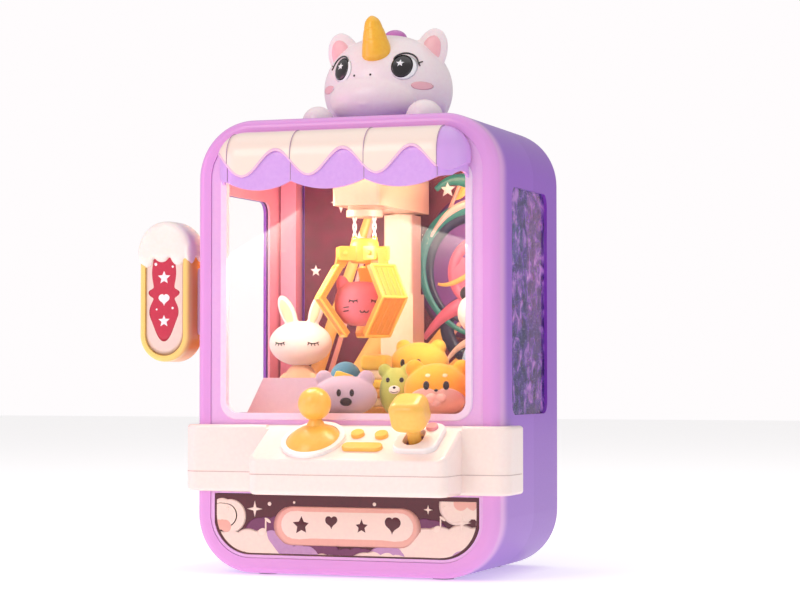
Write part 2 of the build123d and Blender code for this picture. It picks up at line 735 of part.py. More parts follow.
with BuildPart() as awning:
    add(AWNING_OUTER)
    add(AWNING_INNER, mode=Mode.SUBTRACT)
    with BuildSketch(Plane.XZ.offset(70)):
        with BuildLine():
            edge_x = AWNING_X + 2
            Line((-edge_x, AWNING_LOW - 10), (-edge_x, CUSP_Z))
            reach = [-edge_x] + SEAMS + [edge_x]
            for near, far in zip(reach, reach[1:]):
                dip = DIP_Z if far - near > 30 else CUSP_Z + 1
                ThreePointArc((near, CUSP_Z), ((near + far) / 2, dip), (far, CUSP_Z))
            Line((edge_x, CUSP_Z), (edge_x, AWNING_LOW - 10))
            Line((edge_x, AWNING_LOW - 10), (-edge_x, AWNING_LOW - 10))
        make_face()
    extrude(amount=50, mode=Mode.SUBTRACT)
    with Locations(Location((0, -92, 288), (0, 90, 0))):
        Cylinder(11, 2 * AWNING_X + 10, mode=Mode.SUBTRACT)
    block((-84, AWNING_BACK, 312), (84, FASCIA_Y, 329))
save(awning, "awning")

with BuildPart() as awning_icing:
    add(ICING_OUTER)
    add(AWNING_OUTER, mode=Mode.SUBTRACT)
    with BuildSketch(Plane.XZ.offset(70)):
        with BuildLine():
            edge_x = AWNING_X + 5
            steps = 32
            across = [-edge_x + 2 * edge_x * k / steps for k in range(steps + 1)]
            wave = Spline(*[(x, drip_line(x)) for x in across])
            Polyline(wave @ 0, (-edge_x, AWNING_LOW - 10), (edge_x, AWNING_LOW - 10), wave @ 1)
        make_face()
    extrude(amount=50, mode=Mode.SUBTRACT)
save(awning_icing, "awning_icing")

# ---------------------------------------------------------------- side sign

SIGN_X = -155.3
SIGN_Z = 214.5
SIGN_W = 41.6
SIGN_H = 107
SIGN_FRONT = -66
SIGN_BACK = -39
SIGN_RIM = 4.5

with BuildPart() as sign_body:
    with BuildSketch(Plane.XZ.offset(-SIGN_BACK)):
        with Locations((SIGN_X, SIGN_Z)):
            SlotOverall(SIGN_H, SIGN_W, rotation=90)
    extrude(amount=SIGN_BACK - SIGN_FRONT)
    fillet(sign_body.edges().filter_by(Axis.Y, reverse=True), 2.5)
    with BuildSketch(Plane.XZ.offset(-SIGN_FRONT)):
        with Locations((SIGN_X, SIGN_Z)):
            SlotOverall(SIGN_H - 2 * SIGN_RIM, SIGN_W - 2 * SIGN_RIM, rotation=90)
    extrude(amount=-1.5, mode=Mode.SUBTRACT)
save(sign_body, "sign_body")

SIGN_ICING_Z = 244
with BuildPart() as sign_icing:
    with BuildSketch(Plane.XZ.offset(-SIGN_BACK - 1.5)):
        with Locations((SIGN_X, SIGN_Z)):
            SlotOverall(SIGN_H + 3, SIGN_W + 3, rotation=90)
    extrude(amount=SIGN_BACK - SIGN_FRONT + 3)
    fillet(sign_icing.edges().filter_by(Axis.Y, reverse=True), 3.5)
    add(sign_body.part, mode=Mode.SUBTRACT)
    with BuildSketch(Plane.XZ.offset(30)):
        with BuildLine():
            near_x = SIGN_X - 30
            far_x = SIGN_X + 30
            count = 20
            spots = [near_x + (far_x - near_x) * k / count for k in range(count + 1)]
            wave = Spline(*[(x, SIGN_ICING_Z + 5 * cos(2 * pi * (x - SIGN_X) / 22)) for x in spots])
            Polyline(wave @ 0, (near_x, SIGN_Z - 60), (far_x, SIGN_Z - 60), wave @ 1)
        make_face()
    extrude(amount=50, mode=Mode.SUBTRACT)
    hollow((SIGN_X - 30, SIGN_FRONT, SIGN_Z - 60), (SIGN_X + 30, SIGN_FRONT + 1.5, SIGN_ICING_Z - 8))
save(sign_icing, "sign_icing")

with BuildPart() as sign_bracket:
    block((SIGN_X + SIGN_W / 2, -49, 182), (-CAB_W / 2, -41, 234))
    fillet(sign_bracket.edges().filter_by(Axis.X), 3)
save(sign_bracket, "sign_bracket")

# ---------------------------------------------------------------- unicorn topper

HEAD = (0, 15, 374)
HEAD_R = 43.5
HEAD_HALF = 51.5
SKULL_T = 2.5

PAWS = [(-38.5, 12.5), (48, 14.5)]

with BuildPart() as head_room:
    egg(*HEAD, HEAD_R - SKULL_T, HEAD_HALF - SKULL_T)
    hollow((-80, -80, 300), (80, 80, CAB_TOP - 0.01))

with BuildPart() as skull:
    egg(*HEAD, HEAD_R, HEAD_HALF)
    egg(-2, -12, 364, 22, 36)
    hollow((-80, -80, 300), (80, 80, CAB_TOP))

with BuildPart() as unicorn_head:
    for side in (-1, 1):
        with BuildSketch(Plane.XZ.offset(-8)):
            with Locations(Location((side * 36, 402), side * -18)):
                Ellipse(13, 21)
        extrude(amount=-9)
    fillet(unicorn_head.edges(), 3.5)
    add(skull.part)
    for paw_x, paw_r in PAWS:
        with Locations((paw_x, -37, CAB_TOP + 1)):
            Sphere(paw_r)
    hollow((-80, -80, 300), (80, 80, CAB_TOP))
    add(head_room.part, mode=Mode.SUBTRACT)
save(unicorn_head, "unicorn_head")

with BuildPart() as unicorn_horn:
    horn_plane = Plane((2, -16, 399), x_dir=(1, 0, 0), z_dir=(-3, -5, 28))
    with BuildSketch(horn_plane):
        Circle(13)
    with BuildSketch(horn_plane.offset(30)):
        Circle(4.5)
    loft()
    fillet(unicorn_horn.edges().sort_by(Axis.Z)[-1], 4)
    add(unicorn_head.part, mode=Mode.SUBTRACT)
    egg(*HEAD, HEAD_R - 1, HEAD_HALF - 1, Mode.SUBTRACT)
save(unicorn_horn, "unicorn_horn")

with BuildPart() as unicorn_mane:
    for turn, radius in ((18, 11), (42, 13), (68, 12), (94, 10)):
        lean = radians(turn)
        with Locations((2, HEAD[1] + HEAD_R * sin(lean), HEAD[2] + HEAD_R * cos(lean))):
            Sphere(radius)
    egg(*HEAD, HEAD_R, HEAD_HALF, Mode.SUBTRACT)
save(unicorn_mane, "unicorn_mane")

# ---------------------------------------------------------------- crane

SPIGOT_R = 6
SHAFT_R = 2.5
ARM_WALL = 2

with BuildPart() as crane_post:
    block((-POST / 2, POST_Y - POST / 2, DECK_Z), (POST / 2, POST_Y + POST / 2, POST_TOP))
    fillet(crane_post.edges().filter_by(Axis.Z), 2.5)
    block((-13.5, POST_Y - 13.5, DECK_Z), (13.5, POST_Y + 13.5, 215))
    block((-18, POST_Y - 18, DECK_Z), (18, POST_Y + 18, DECK_Z + 3))
    upright(0, POST_Y, POST_TOP, ARM_LOW - 0.2, 10)
    upright(0, POST_Y, POST_TOP, 300, SPIGOT_R)
save(crane_post, "crane_post")

with BuildPart() as swing_motor:
    upright(0, POST_Y, 302.5, 312, SHAFT_R)
    upright(0, POST_Y, 310, 331, 14)
    block((-20, POST_Y - 16, 331), (20, POST_Y + 16, CAB_TOP - WALL))
save(swing_motor, "swing_motor")

with BuildPart() as crane_arm:
    block((-ARM_X, ARM_Y[0], ARM_LOW), (ARM_X, ARM_Y[1], ARM_HIGH))
    fillet(crane_arm.edges().filter_by(Axis.Z), 3)
    inside_x = ARM_X - ARM_WALL
    hollow(
        (-inside_x, ARM_Y[0] + ARM_WALL, ARM_LOW + ARM_WALL), (inside_x, 28, ARM_HIGH - ARM_WALL)
    )
    hollow((-11.5, CLAW_Y - 10.5, ARM_LOW - 1), (11.5, CLAW_Y + 28, ARM_LOW + 3))
    upright(0, POST_Y, ARM_LOW - 1, 301, SPIGOT_R + FIT, Mode.SUBTRACT)
    upright(0, POST_Y, 300, ARM_HIGH + 1, SHAFT_R + FIT, Mode.SUBTRACT)
save(crane_arm, "crane_arm")

DRUM_Y = CLAW_Y + 7.3
DRUM_Z = 291
DRUM_R = 5.5
AXLE_R = 2
CHAIN_R = 1.5

with BuildPart() as trolley:
    block((-16.7, CLAW_Y - 10, 281.3), (16.7, CLAW_Y + 17, 303.7))
    hollow((-15, CLAW_Y - 8.5, 283), (15, CLAW_Y + 15.5, 302))
    block((-11, CLAW_Y - 7, 275), (11, CLAW_Y + 7, 283))
    upright(0, CLAW_Y, 271, 276, 14)
    for side in (-1, 1):
        upright(side * CHAIN_X, CLAW_Y, 270, 284, CHAIN_R + 0.7, Mode.SUBTRACT)
    bar_x((-18, 18), DRUM_Y, DRUM_Z, AXLE_R + FIT, Mode.SUBTRACT)
save(trolley, "trolley")

with BuildPart() as winch_drum:
    bar_x((-16.5, 16.5), DRUM_Y, DRUM_Z, AXLE_R)
    bar_x((-13, 13), DRUM_Y, DRUM_Z, DRUM_R)
    for low, high in ((-12, -10.5), (-5.5, -4), (4, 5.5), (10.5, 12)):
        bar_x((low, high), DRUM_Y, DRUM_Z, DRUM_R + 1.7)
save(winch_drum, "winch_drum")

FINGER_TURNS = {"finger_right": 330, "finger_left": 210, "finger_back": 90}
LUG_NEAR = 5.2
LUG_FAR = 8


def finger_plane(turn):
    """Upright plane through the claw's centre line, its x axis pointing along a finger."""
    away = radians(turn)
    return Plane(
        (0, CLAW_Y, 0), x_dir=(cos(away), sin(away), 0), z_dir=(sin(away), -cos(away), 0)
    )


with BuildPart() as claw_hub:
    upright(0, CLAW_Y, HUB_LOW, HUB_TOP, 11)
    for side in (-1, 1):
        upright(side * CHAIN_X, CLAW_Y, HUB_TOP - 2, 285, CHAIN_R)
    for turn in FINGER_TURNS.values():
        plane = finger_plane(turn)
        for start in (LUG_NEAR, -LUG_FAR):
            with BuildSketch(plane.offset(start)):
                with Locations((14, FINGER_PIVOT[1])):
                    Rectangle(14, 11)
            extrude(amount=LUG_FAR - LUG_NEAR)
        with BuildSketch(plane):
            with Locations(FINGER_PIVOT):
                Circle(PIN_R)
        extrude(amount=LUG_FAR, both=True)
save(claw_hub, "claw_hub")

for label, turn in FINGER_TURNS.items():
    with BuildPart() as finger:
        with BuildSketch(finger_plane(turn)):
            Polygon((12, 247), (12, 239), (16.5, 232), (23, 233), (20, 247), align=None)
        extrude(amount=5, both=True)
        with BuildSketch(finger_plane(turn)):
            knee_r, knee_z = FINGER_KNEE
            inner_knee = (knee_r - FINGER_WALL, knee_z)
            outside = ((22, 234), FINGER_KNEE, (15.5, 179.5))
            Polygon(*outside, (13, 183), inner_knee, (17.5, 233), align=None)
        extrude(amount=FINGER_HALF, both=True)
        with BuildSketch(finger_plane(turn)):
            with Locations(FINGER_PIVOT):
                Circle(PIN_R + FIT)
        extrude(amount=8, both=True, mode=Mode.SUBTRACT)
    save(finger, label)

# ---------------------------------------------------------------- prizes

REST_Z = DECK_Z + 0.3

with BuildPart() as prize_bunny:
    upright_egg(-80, 30, REST_Z + 20, 16, 20)
    egg(-80, 29, 176.5, 18.5, 26)
    upright_egg(-90, 32, 203, 6, 16)
    upright_egg(-69, 32, 203, 6, 16)
save(prize_bunny, "prize_bunny")

with BuildPart() as prize_bear:
    egg(-8, -58.5, REST_Z + 15.5, 15.5, 24.5)
    for ear_x in (-24, 8):
        with Locations((ear_x, -56.5, REST_Z + 27.5)):
            Sphere(6.5)
save(prize_bear, "prize_bear")

with BuildPart() as prize_frog:
    upright_egg(25.5, -38, REST_Z + 18, 12.5, 18)
    for ear_x in (18, 33):
        with Locations((ear_x, -36.5, REST_Z + 34)):
            Sphere(5.5)
save(prize_frog, "prize_frog")

with BuildPart() as prize_dog:
    egg(63, -51, REST_Z + 20, 20, 25)
    for ear_x in (46, 81):
        with Locations((ear_x, -49, REST_Z + 35)):
            Sphere(7)
save(prize_dog, "prize_dog")

with BuildPart() as prize_yellow_bear:
    egg(31, 2, REST_Z + 18, 17, 20)
    egg(31, 0, 159, 17, 24)
    for ear_x in (17, 46):
        with Locations((ear_x, 2.5, 171)):
            Sphere(6)
save(prize_yellow_bear, "prize_yellow_bear")

with BuildPart() as prize_panda:
    upright_egg(74, 33, REST_Z + 33, 15, 33)
    egg(74, 31, 199, 19, 22)
    for ear_x in (60, 88):
        with Locations((ear_x, 34, 214)):
            Sphere(6)
save(prize_panda, "prize_panda")

with BuildPart() as prize_trinkets:
    upright(1.5, -16, REST_Z, 166, 10.5)
    with Locations((-20, -26, 149)):
        Sphere(12)
    upright(-20, -26, REST_Z, 142, 9)
save(prize_trinkets, "prize_trinkets")

with BuildPart() as prize_cat:
    egg(-3, CLAW_Y, 205, 18, 21)
save(prize_cat, "prize_cat")

# ---------------------------------------------------------------- doors

with BuildPart() as prize_door:
    with BuildSketch(Plane.XZ.offset(-FASCIA_Y - 2)):
        cabinet_outline(FLAP_INSET)
        with Locations((0, (FLAP_LOW + FLAP_HIGH) / 2)):
            Rectangle(FLAP_W, FLAP_HIGH - FLAP_LOW, mode=Mode.INTERSECT)
    extrude(amount=2)
    block((-104, FASCIA_Y + 1.9, 58.5), (104, FLAP_HINGE_Y, 60.5))
    bar_x((-104, 104), FLAP_HINGE_Y, FLAP_HINGE_Z, 2.2)
    bar_x((-107.8, 107.8), FLAP_HINGE_Y, FLAP_HINGE_Z, PIN_R)
save(prize_door, "prize_door")

CARD_Y = (72, 74)

with BuildPart() as rear_door:
    block((-DOOR_W / 2, BACK_Y - END_WALL, DOOR_LOW), (DOOR_W / 2, BACK_Y, DOOR_HIGH))
    for low, high in KNUCKLE_Z:
        block((DOOR_HINGE[0], BACK_Y, low), (DOOR_HINGE[0] + 5, DOOR_HINGE[1] + 1, high))
        upright(*DOOR_HINGE, low, high, KNUCKLE_R)
        upright(*DOOR_HINGE, low - 1, high + 1, PIN_R + FIT, Mode.SUBTRACT)
    for post_x in (-80, 80):
        for post_z in (140, 298):
            block((post_x - 3, CARD_Y[1], post_z - 3), (post_x + 3, BACK_Y - END_WALL, post_z + 3))
    block((84, BACK_Y, 208), (90, BACK_Y + 5, 230))
save(rear_door, "rear_door")

with BuildPart() as back_card:
    block((-94, CARD_Y[0], DECK_Z + 1), (94, CARD_Y[1], 318))
save(back_card, "back_card")
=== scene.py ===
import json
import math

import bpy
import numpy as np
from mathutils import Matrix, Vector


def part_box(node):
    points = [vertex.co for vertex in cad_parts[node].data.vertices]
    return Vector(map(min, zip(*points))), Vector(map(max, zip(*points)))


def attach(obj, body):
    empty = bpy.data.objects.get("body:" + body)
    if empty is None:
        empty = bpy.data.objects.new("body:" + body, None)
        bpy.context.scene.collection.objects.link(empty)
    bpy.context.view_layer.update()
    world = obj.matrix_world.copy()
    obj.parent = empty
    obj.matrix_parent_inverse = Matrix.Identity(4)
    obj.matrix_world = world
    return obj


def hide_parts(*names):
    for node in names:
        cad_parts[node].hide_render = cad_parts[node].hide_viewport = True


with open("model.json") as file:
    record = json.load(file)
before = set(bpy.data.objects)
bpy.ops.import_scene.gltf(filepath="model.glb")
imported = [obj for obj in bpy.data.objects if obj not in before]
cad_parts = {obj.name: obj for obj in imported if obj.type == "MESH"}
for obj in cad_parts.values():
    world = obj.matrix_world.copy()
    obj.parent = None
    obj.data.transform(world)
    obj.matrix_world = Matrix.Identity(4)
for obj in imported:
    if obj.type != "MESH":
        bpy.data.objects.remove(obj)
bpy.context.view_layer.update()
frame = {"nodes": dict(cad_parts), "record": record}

# %% [markdown]
# # A table-top claw crane
#
# The cabinet, console, crane and awning are moulded plastic, and their shapes come from the CAD
# frame. What is left for this lesson is everything soft, sculpted or printed: the unicorn
# topper, the plush prizes, the icing, the chains, the ribs of the claw and the printed panels,
# and the finish of every surface. All lengths below are millimetres until a mesh is made.

MM = 0.001
nodes = frame["nodes"]


def extent(node):
    """The lowest and highest corner of a CAD node, in millimetres."""
    low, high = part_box(node)
    return np.array(low) / MM, np.array(high) / MM


# %% [markdown]
# ## Shapes as grids
#
# A smooth piece can be modelled by pushing points about, or written down as a formula. Here each
# shape is a grid: rows and columns of points worked out by one formula, with a face between
# neighbours. Changing a size is then changing one number. A row that shrinks to a point is a
# pole, and its doubles are merged when the mesh is made.

# %% Grid helpers
FULL_TURN = 2 * np.pi


def grid(points, rows_wrap=False, columns_wrap=False):
    """One surface: an array rows x columns x 3, and whether each direction joins its own start."""
    return np.asarray(points, float), rows_wrap, columns_wrap


def quads(shape, rows_wrap, columns_wrap):
    """The four corner numbers of each face: a point, its right neighbour, and the two above."""
    rows, columns = shape
    row = np.arange(rows if rows_wrap else rows - 1)[:, None]
    column = np.arange(columns if columns_wrap else columns - 1)[None, :]
    above, right = (row + 1) % rows, (column + 1) % columns
    corners = [row * columns + column, row * columns + right]
    corners += [above * columns + right, above * columns + column]
    return np.stack(np.broadcast_arrays(*corners), -1).reshape(-1, 4)


def ellipsoid(centre, halves, rows=28, columns=44, square=1.0, lean=0.0):
    """Centre plus halves times the unit sphere of latitude and longitude. Square below 1 makes it
    boxier, by raising each sine and cosine to that power. Lean turns it about Y, in degrees."""
    latitude = np.linspace(-np.pi / 2, np.pi / 2, rows)[:, None]
    longitude = np.linspace(0, FULL_TURN, columns, endpoint=False)[None, :]

    def power(value):
        return np.sign(value) * np.abs(value) ** square

    x = power(np.cos(latitude)) * power(np.cos(longitude)) * halves[0]
    y = power(np.cos(latitude)) * power(np.sin(longitude)) * halves[1]
    z = power(np.sin(latitude)) * halves[2] + 0 * longitude
    turn = math.radians(lean)
    leaned_x = x * math.cos(turn) + z * math.sin(turn)
    leaned_z = z * math.cos(turn) - x * math.sin(turn)
    return grid(np.stack([leaned_x, y, leaned_z], -1) + centre, columns_wrap=True)


def tube(path, radius, sides=12, closed=False, across=(0, 1, 0)):
    """A circle carried along a path. At each point it lies in the plane of the across direction
    and the path's own normal, which is tangent x across. Open ends close to a point."""
    path = np.asarray(path, float)
    radius = np.broadcast_to(np.asarray(radius, float), len(path))
    if closed:
        tangent = np.roll(path, -1, 0) - np.roll(path, 1, 0)
    else:
        tangent = np.gradient(path, axis=0)
        tangent = np.concatenate([tangent[:1], tangent, tangent[-1:]])
        path = np.concatenate([path[:1], path, path[-1:]])
        radius = np.concatenate([[0], radius, [0]])
    tangent /= np.linalg.norm(tangent, axis=1, keepdims=True)
    normal = np.cross(tangent, np.asarray(across, float))
    normal /= np.linalg.norm(normal, axis=1, keepdims=True)
    second = np.cross(tangent, normal)
    turn = np.linspace(0, FULL_TURN, sides, endpoint=False)[None, :, None]
    ring = np.cos(turn) * normal[:, None] + np.sin(turn) * second[:, None]
    return grid(path[:, None] + ring * radius[:, None, None], closed, True)


def turned(shape, centre, degrees):
    """The same grid turned about an upright line through centre."""
    points, rows_wrap, columns_wrap = shape
    angle = math.radians(degrees)
    dx, dy = points[..., 0] - centre[0], points[..., 1] - centre[1]
    x = centre[0] + dx * math.cos(angle) - dy * math.sin(angle)
    y = centre[1] + dx * math.sin(angle) + dy * math.cos(angle)
    return np.stack([x, y, points[..., 2]], -1), rows_wrap, columns_wrap


# %% [markdown]
# ## Colours and nodes
#
# Colours are written as they look on a screen, and one function turns them to the linear values
# that the renderer works in. One function adds a node with its settings and links, so each
# material below reads as a short recipe.

# %% Colour and node helpers


def linear(text):
    """Linear red, green, blue and alpha of an sRGB hex colour."""
    channels = [int(text[i : i + 2], 16) / 255 for i in (1, 3, 5)]
    return tuple(c / 12.92 if c < 0.04045 else ((c + 0.055) / 1.055) ** 2.4 for c in channels) + (1,)


def add_node(material, kind, sockets=None, **settings):
    """Add a node. Each socket is given a plain value, or another node's output to link to."""
    tree = material.node_tree
    made = tree.nodes.new(kind)
    for key, value in settings.items():
        setattr(made, key, value)
    for key, value in (sockets or {}).items():
        if isinstance(value, bpy.types.NodeSocket):
            tree.links.new(value, made.inputs[key])
        else:
            made.inputs[key].default_value = value
    return made


def new_material(name, **sockets):
    """A material whose Principled shader has these values. Returns the material and its shader."""
    material = bpy.data.materials.new(name)
    material.use_nodes = True
    shader = material.node_tree.nodes["Principled BSDF"]
    for key, value in sockets.items():
        shader.inputs[key.replace("_", " ")].default_value = value
    return material, shader


def place_in_mm(material, size):
    """Object coordinates divided by a size in millimetres, so one pattern unit is that size."""
    coordinates = add_node(material, "ShaderNodeTexCoord")
    return add_node(
        material,
        "ShaderNodeMapping",
        {"Vector": coordinates.outputs["Object"], "Scale": (1 / (size * MM),) * 3},
    ).outputs["Vector"]


def blend(material, factor, first, second):
    """A colour that goes from first to second as factor goes from 0 to 1. Either may be a link."""
    mixer = add_node(material, "ShaderNodeMix", data_type="RGBA")
    for index, value in ((0, factor), (6, first), (7, second)):
        if isinstance(value, bpy.types.NodeSocket):
            material.node_tree.links.new(value, mixer.inputs[index])
        else:
            mixer.inputs[index].default_value = value
    return mixer.outputs[2]


def link(material, source, target):
    material.node_tree.links.new(source, target)


# %% [markdown]
# ## Moulded plastic
#
# Nearly every hard piece is ABS from a polished mould. Polished ABS is glossy with a broad soft
# highlight, and light enters it a little, which keeps its shadows warm. The mould leaves a very
# slight waviness, so its highlights wander, and the pigment is never perfectly even. A moulded
# material here is one shader with a faint pigment pattern and a faint bump.

# %% Moulded plastic
WAVE_MM = 14
GRAIN_MM = 0.8


def moulded(name, colour, deeper, roughness=0.32, depth=0.05, glow=0.06, coat=0.25):
    """Polished ABS or polystyrene. Deeper is its colour where the pigment gathers."""
    material, shader = new_material(
        name,
        Roughness=roughness,
        IOR=1.53,
        Coat_Weight=coat,
        Coat_Roughness=0.12,
        Subsurface_Weight=glow,
        Subsurface_Scale=0.004,
    )
    cloudy = add_node(
        material, "ShaderNodeTexNoise", {"Vector": place_in_mm(material, WAVE_MM), "Detail": 3}
    )
    colours = blend(material, cloudy.outputs["Fac"], linear(colour), linear(deeper))
    link(material, colours, shader.inputs["Base Color"])
    fine = add_node(
        material, "ShaderNodeTexNoise", {"Vector": place_in_mm(material, GRAIN_MM), "Detail": 2}
    )
    bump = add_node(
        material,
        "ShaderNodeBump",
        {"Height": fine.outputs["Fac"], "Strength": depth, "Distance": 0.0002},
    )
    link(material, bump.outputs["Normal"], shader.inputs["Normal"])
    return material


def moulded_shade(name, front, back, start, end, roughness=0.3, axis="Y"):
    """ABS whose tint deepens from the front colour to the back colour between start and end along one axis.
    On the shell, the deeper violet of the side faces is painted shade.
    """
    material = moulded(name, front, front, roughness)
    shader = material.node_tree.nodes["Principled BSDF"]
    place = add_node(
        material, "ShaderNodeSeparateXYZ", {"Vector": place_in_mm(material, 1)}
    )
    ramp = add_node(
        material,
        "ShaderNodeMapRange",
        {"Value": place.outputs[axis], "From Min": start, "From Max": end},
        interpolation_type="SMOOTHSTEP",
    )
    colours = blend(material, ramp.outputs["Result"], linear(front), linear(back))
    link(material, colours, shader.inputs["Base Color"])
    return material


front_y = extent("front_shell")[0][1]
# Painted shade: the shell's side faces take a deeper violet than its lilac front.
shell_abs_painted_shade = moulded_shade("lilac_ABS_violet_painted_shade", "#E29FE4", "#9040C8", front_y + 8, front_y + 26)
SIGN_FACE = extent("sign_body")[0][1]
finishes = {
    "shell_lilac": shell_abs_painted_shade,
    "shell_violet": moulded("violet_ABS", "#9040C8", "#8638BE"),
    "fascia_lilac": moulded("pale_lilac_ABS", "#ECBBEC", "#E6AFEA"),
    "pale_trim": moulded("pearl_lilac_ABS", "#F7E2F6", "#F1D4F3"),
    "console_cream": moulded("cream_ABS", "#FFF0E8", "#FBE6DF"),
    "white_trim": moulded("white_ABS", "#FFFDFB", "#F8F2F0"),
    "yellow_knob": moulded("butter_yellow_ABS", "#FFCB62", "#FABD4E"),
    "button_pink": moulded("coral_pink_ABS", "#F7A9AE", "#EF9AA2"),
    "awning_lilac": moulded("awning_lilac_ABS", "#DDB4F4", "#CF9EEC"),
    "icing_cream": moulded_shade("icing_cream_ABS", "#FBE9DA", "#D9A8F0", 81.2, 81.6, axis="X"),
    "icing_bead": moulded("pink_icing_bead_ABS", "#F6CDE6", "#EFBEDD", glow=0.12),
    "seam_grey": moulded("seam_shadow_ABS", "#B79AB8", "#A98BAC", 0.5),
    "icing_white": moulded("icing_white_ABS", "#FFFBF2", "#FDF2E6", glow=0.15),
    "sign_orange": moulded_shade("honey_orange_ABS", "#FFDC7E", "#FBA437", SIGN_FACE + 1, SIGN_FACE + 11),
    "unicorn_pink": moulded("porcelain_pink_ABS", "#F8ECEC", "#F3E0E4", 0.38, glow=0.12),
    "horn_yellow": moulded("horn_yellow_ABS", "#FFC93C", "#F6B02A"),
    "mane_magenta": moulded("mane_magenta_ABS", "#D07AC4", "#B95AB0"),
    "liner_pink": moulded("rose_polystyrene", "#F4A9C2", "#E88FB4", 0.42),
    "deck_cream": moulded("cream_polystyrene", "#FBE3C0", "#F6D7B0", 0.45),
    "guard_mauve": moulded("mauve_ABS", "#DDC2D4", "#D2B2CA", 0.36),
    "crane_cream": moulded("peach_cream_ABS", "#F7D6BC", "#F0C6A6"),
    "claw_yellow": moulded("claw_yellow_ABS", "#FFD257", "#F9C043"),
    "claw_orange": moulded("claw_orange_ABS", "#F7A534", "#E48C26"),
    "inner_black": moulded("black_ABS", "#26242A", "#1E1C22", 0.5),
    "board_green": moulded("solder_mask_green", "#2E6A48", "#265C3E", 0.4),
    "rubber": moulded("grey_rubber", "#8D8A92", "#7E7B84", 0.7, 0.3, 0, 0),
    "flap_maroon": moulded("wine_red_ABS", "#5C1626", "#470F1E", 0.3),
    "print_plum": moulded("plum_ink", "#7C3A66", "#6B2E58", 0.4),
    "seam_cream": moulded("seam_warm_shadow_ABS", "#D2B8B4", "#C6ACA8", 0.5),
    "print_cream": moulded("cream_ink", "#FBE4D4", "#F6D6CC", 0.4),
    "print_peach": moulded("peach_ink", "#F2B7A6", "#EBA99E", 0.4),
    "print_mauve": moulded("mauve_ink", "#C99AC4", "#B887B8", 0.4),
    "print_pink": moulded("pink_ink", "#F07F9C", "#E56C8E", 0.4),
    "print_crimson": moulded("crimson_ink", "#D8324E", "#C42544", 0.35),
    "print_teal": moulded("teal_ink", "#3FA79C", "#2F8F8E", 0.4),
    "print_navy": moulded("navy_ink", "#28305E", "#1F264E", 0.4),
    "print_violet": moulded("violet_ink", "#7A3F9A", "#693389", 0.4),
    "print_gold": moulded("gold_ink", "#FFD27A", "#F8BD5C", 0.4),
    "print_black": moulded("black_ink", "#1C1218", "#150D12", 0.25, 0.02, 0, 0.6),
    "print_white": moulded("white_ink", "#FFFFFF", "#FBF7F7", 0.3),
    "blush": moulded("blush_ink", "#F9C0C4", "#F6B4BC", 0.4),
}
print("moulded finishes:", len(finishes))

# %% [markdown]
# ## Metal, lamp and glazing
#
# The screws and the drum are zinc-plated steel: metallic, with fine turned scratches. The
# ceiling lamp is frosted polystyrene over warm LEDs, so it simply gives light. The windows are
# clear polystyrene sheet, which mostly vanishes and leaves only its reflection: a low alpha does
# that and keeps the prizes crisp. The right side window carries a printed night sky with specks
# of white, so its alpha and colour change on that side of the machine.

# %% Steel, lamp and windows


def turned_steel():
    material, shader = new_material("zinc_plated_steel", Metallic=1.0, Roughness=0.3)
    rings = add_node(
        material,
        "ShaderNodeTexWave",
        {"Vector": place_in_mm(material, 0.6), "Distortion": 1.5},
        wave_type="RINGS",
    )
    colours = blend(material, rings.outputs["Fac"], linear("#C9CBD0"), linear("#9EA1A8"))
    link(material, colours, shader.inputs["Base Color"])
    return material


def lamp_glow():
    material, shader = new_material(
        "frosted_lamp_polystyrene",
        Roughness=0.5,
        Emission_Color=linear("#FFE3B8"),
        Emission_Strength=2.0,
    )
    cells = add_node(
        material, "ShaderNodeTexVoronoi", {"Vector": place_in_mm(material, 3)}
    )
    colours = blend(material, cells.outputs["Distance"], linear("#FFFFFF"), linear("#FFF1DC"))
    link(material, colours, shader.inputs["Base Color"])
    return material


def clear_sheet():
    material, shader = new_material(
        "clear_polystyrene_sheet", Base_Color=linear("#FFFFFF"), Roughness=0.06, Alpha=0.02
    )
    waves = add_node(
        material, "ShaderNodeTexNoise", {"Vector": place_in_mm(material, 60), "Detail": 1}
    )
    bump = add_node(
        material,
        "ShaderNodeBump",
        {"Height": waves.outputs["Fac"], "Strength": 0.1, "Distance": 0.0005},
    )
    link(material, bump.outputs["Normal"], shader.inputs["Normal"])
    return material


SPECK_MM = 9
NEBULA_MM = 55


def night_sky_sheet():
    """Clear sheet on the left. On the right, navy and violet clouds with white specks: a speck is
    where a point lies close to the middle of its Voronoi cell."""
    material, shader = new_material("printed_window_sheet", Roughness=0.1)
    clouds = add_node(
        material,
        "ShaderNodeTexNoise",
        {"Vector": place_in_mm(material, NEBULA_MM), "Detail": 4, "Distortion": 0.8},
    )
    sky = add_node(material, "ShaderNodeValToRGB", {"Fac": clouds.outputs["Fac"]})
    stops = sky.color_ramp.elements
    stops[0].position, stops[0].color = 0.36, linear("#1E2060")
    stops[1].position, stops[1].color = 0.68, linear("#C98AE6")
    middle = stops.new(0.5)
    middle.color = linear("#5A34A0")
    cells = add_node(
        material, "ShaderNodeTexVoronoi", {"Vector": place_in_mm(material, SPECK_MM)}
    )
    specks = add_node(
        material,
        "ShaderNodeMapRange",
        {"Value": cells.outputs["Distance"], "From Min": 0.16, "From Max": 0.1},
    )
    colours = blend(material, specks.outputs["Result"], sky.outputs["Color"], linear("#FFFFFF"))
    place = add_node(material, "ShaderNodeSeparateXYZ", {"Vector": place_in_mm(material, 1)})
    right_side = add_node(
        material, "ShaderNodeMath", {0: place.outputs["X"], 1: 0.0}, operation="GREATER_THAN"
    )
    painted = blend(material, right_side.outputs["Value"], linear("#FFFFFF"), colours)
    link(material, painted, shader.inputs["Base Color"])
    thick = add_node(
        material,
        "ShaderNodeMapRange",
        {"Value": right_side.outputs["Value"], "To Min": 0.02, "To Max": 0.78},
    )
    link(material, thick.outputs["Result"], shader.inputs["Alpha"])
    return material


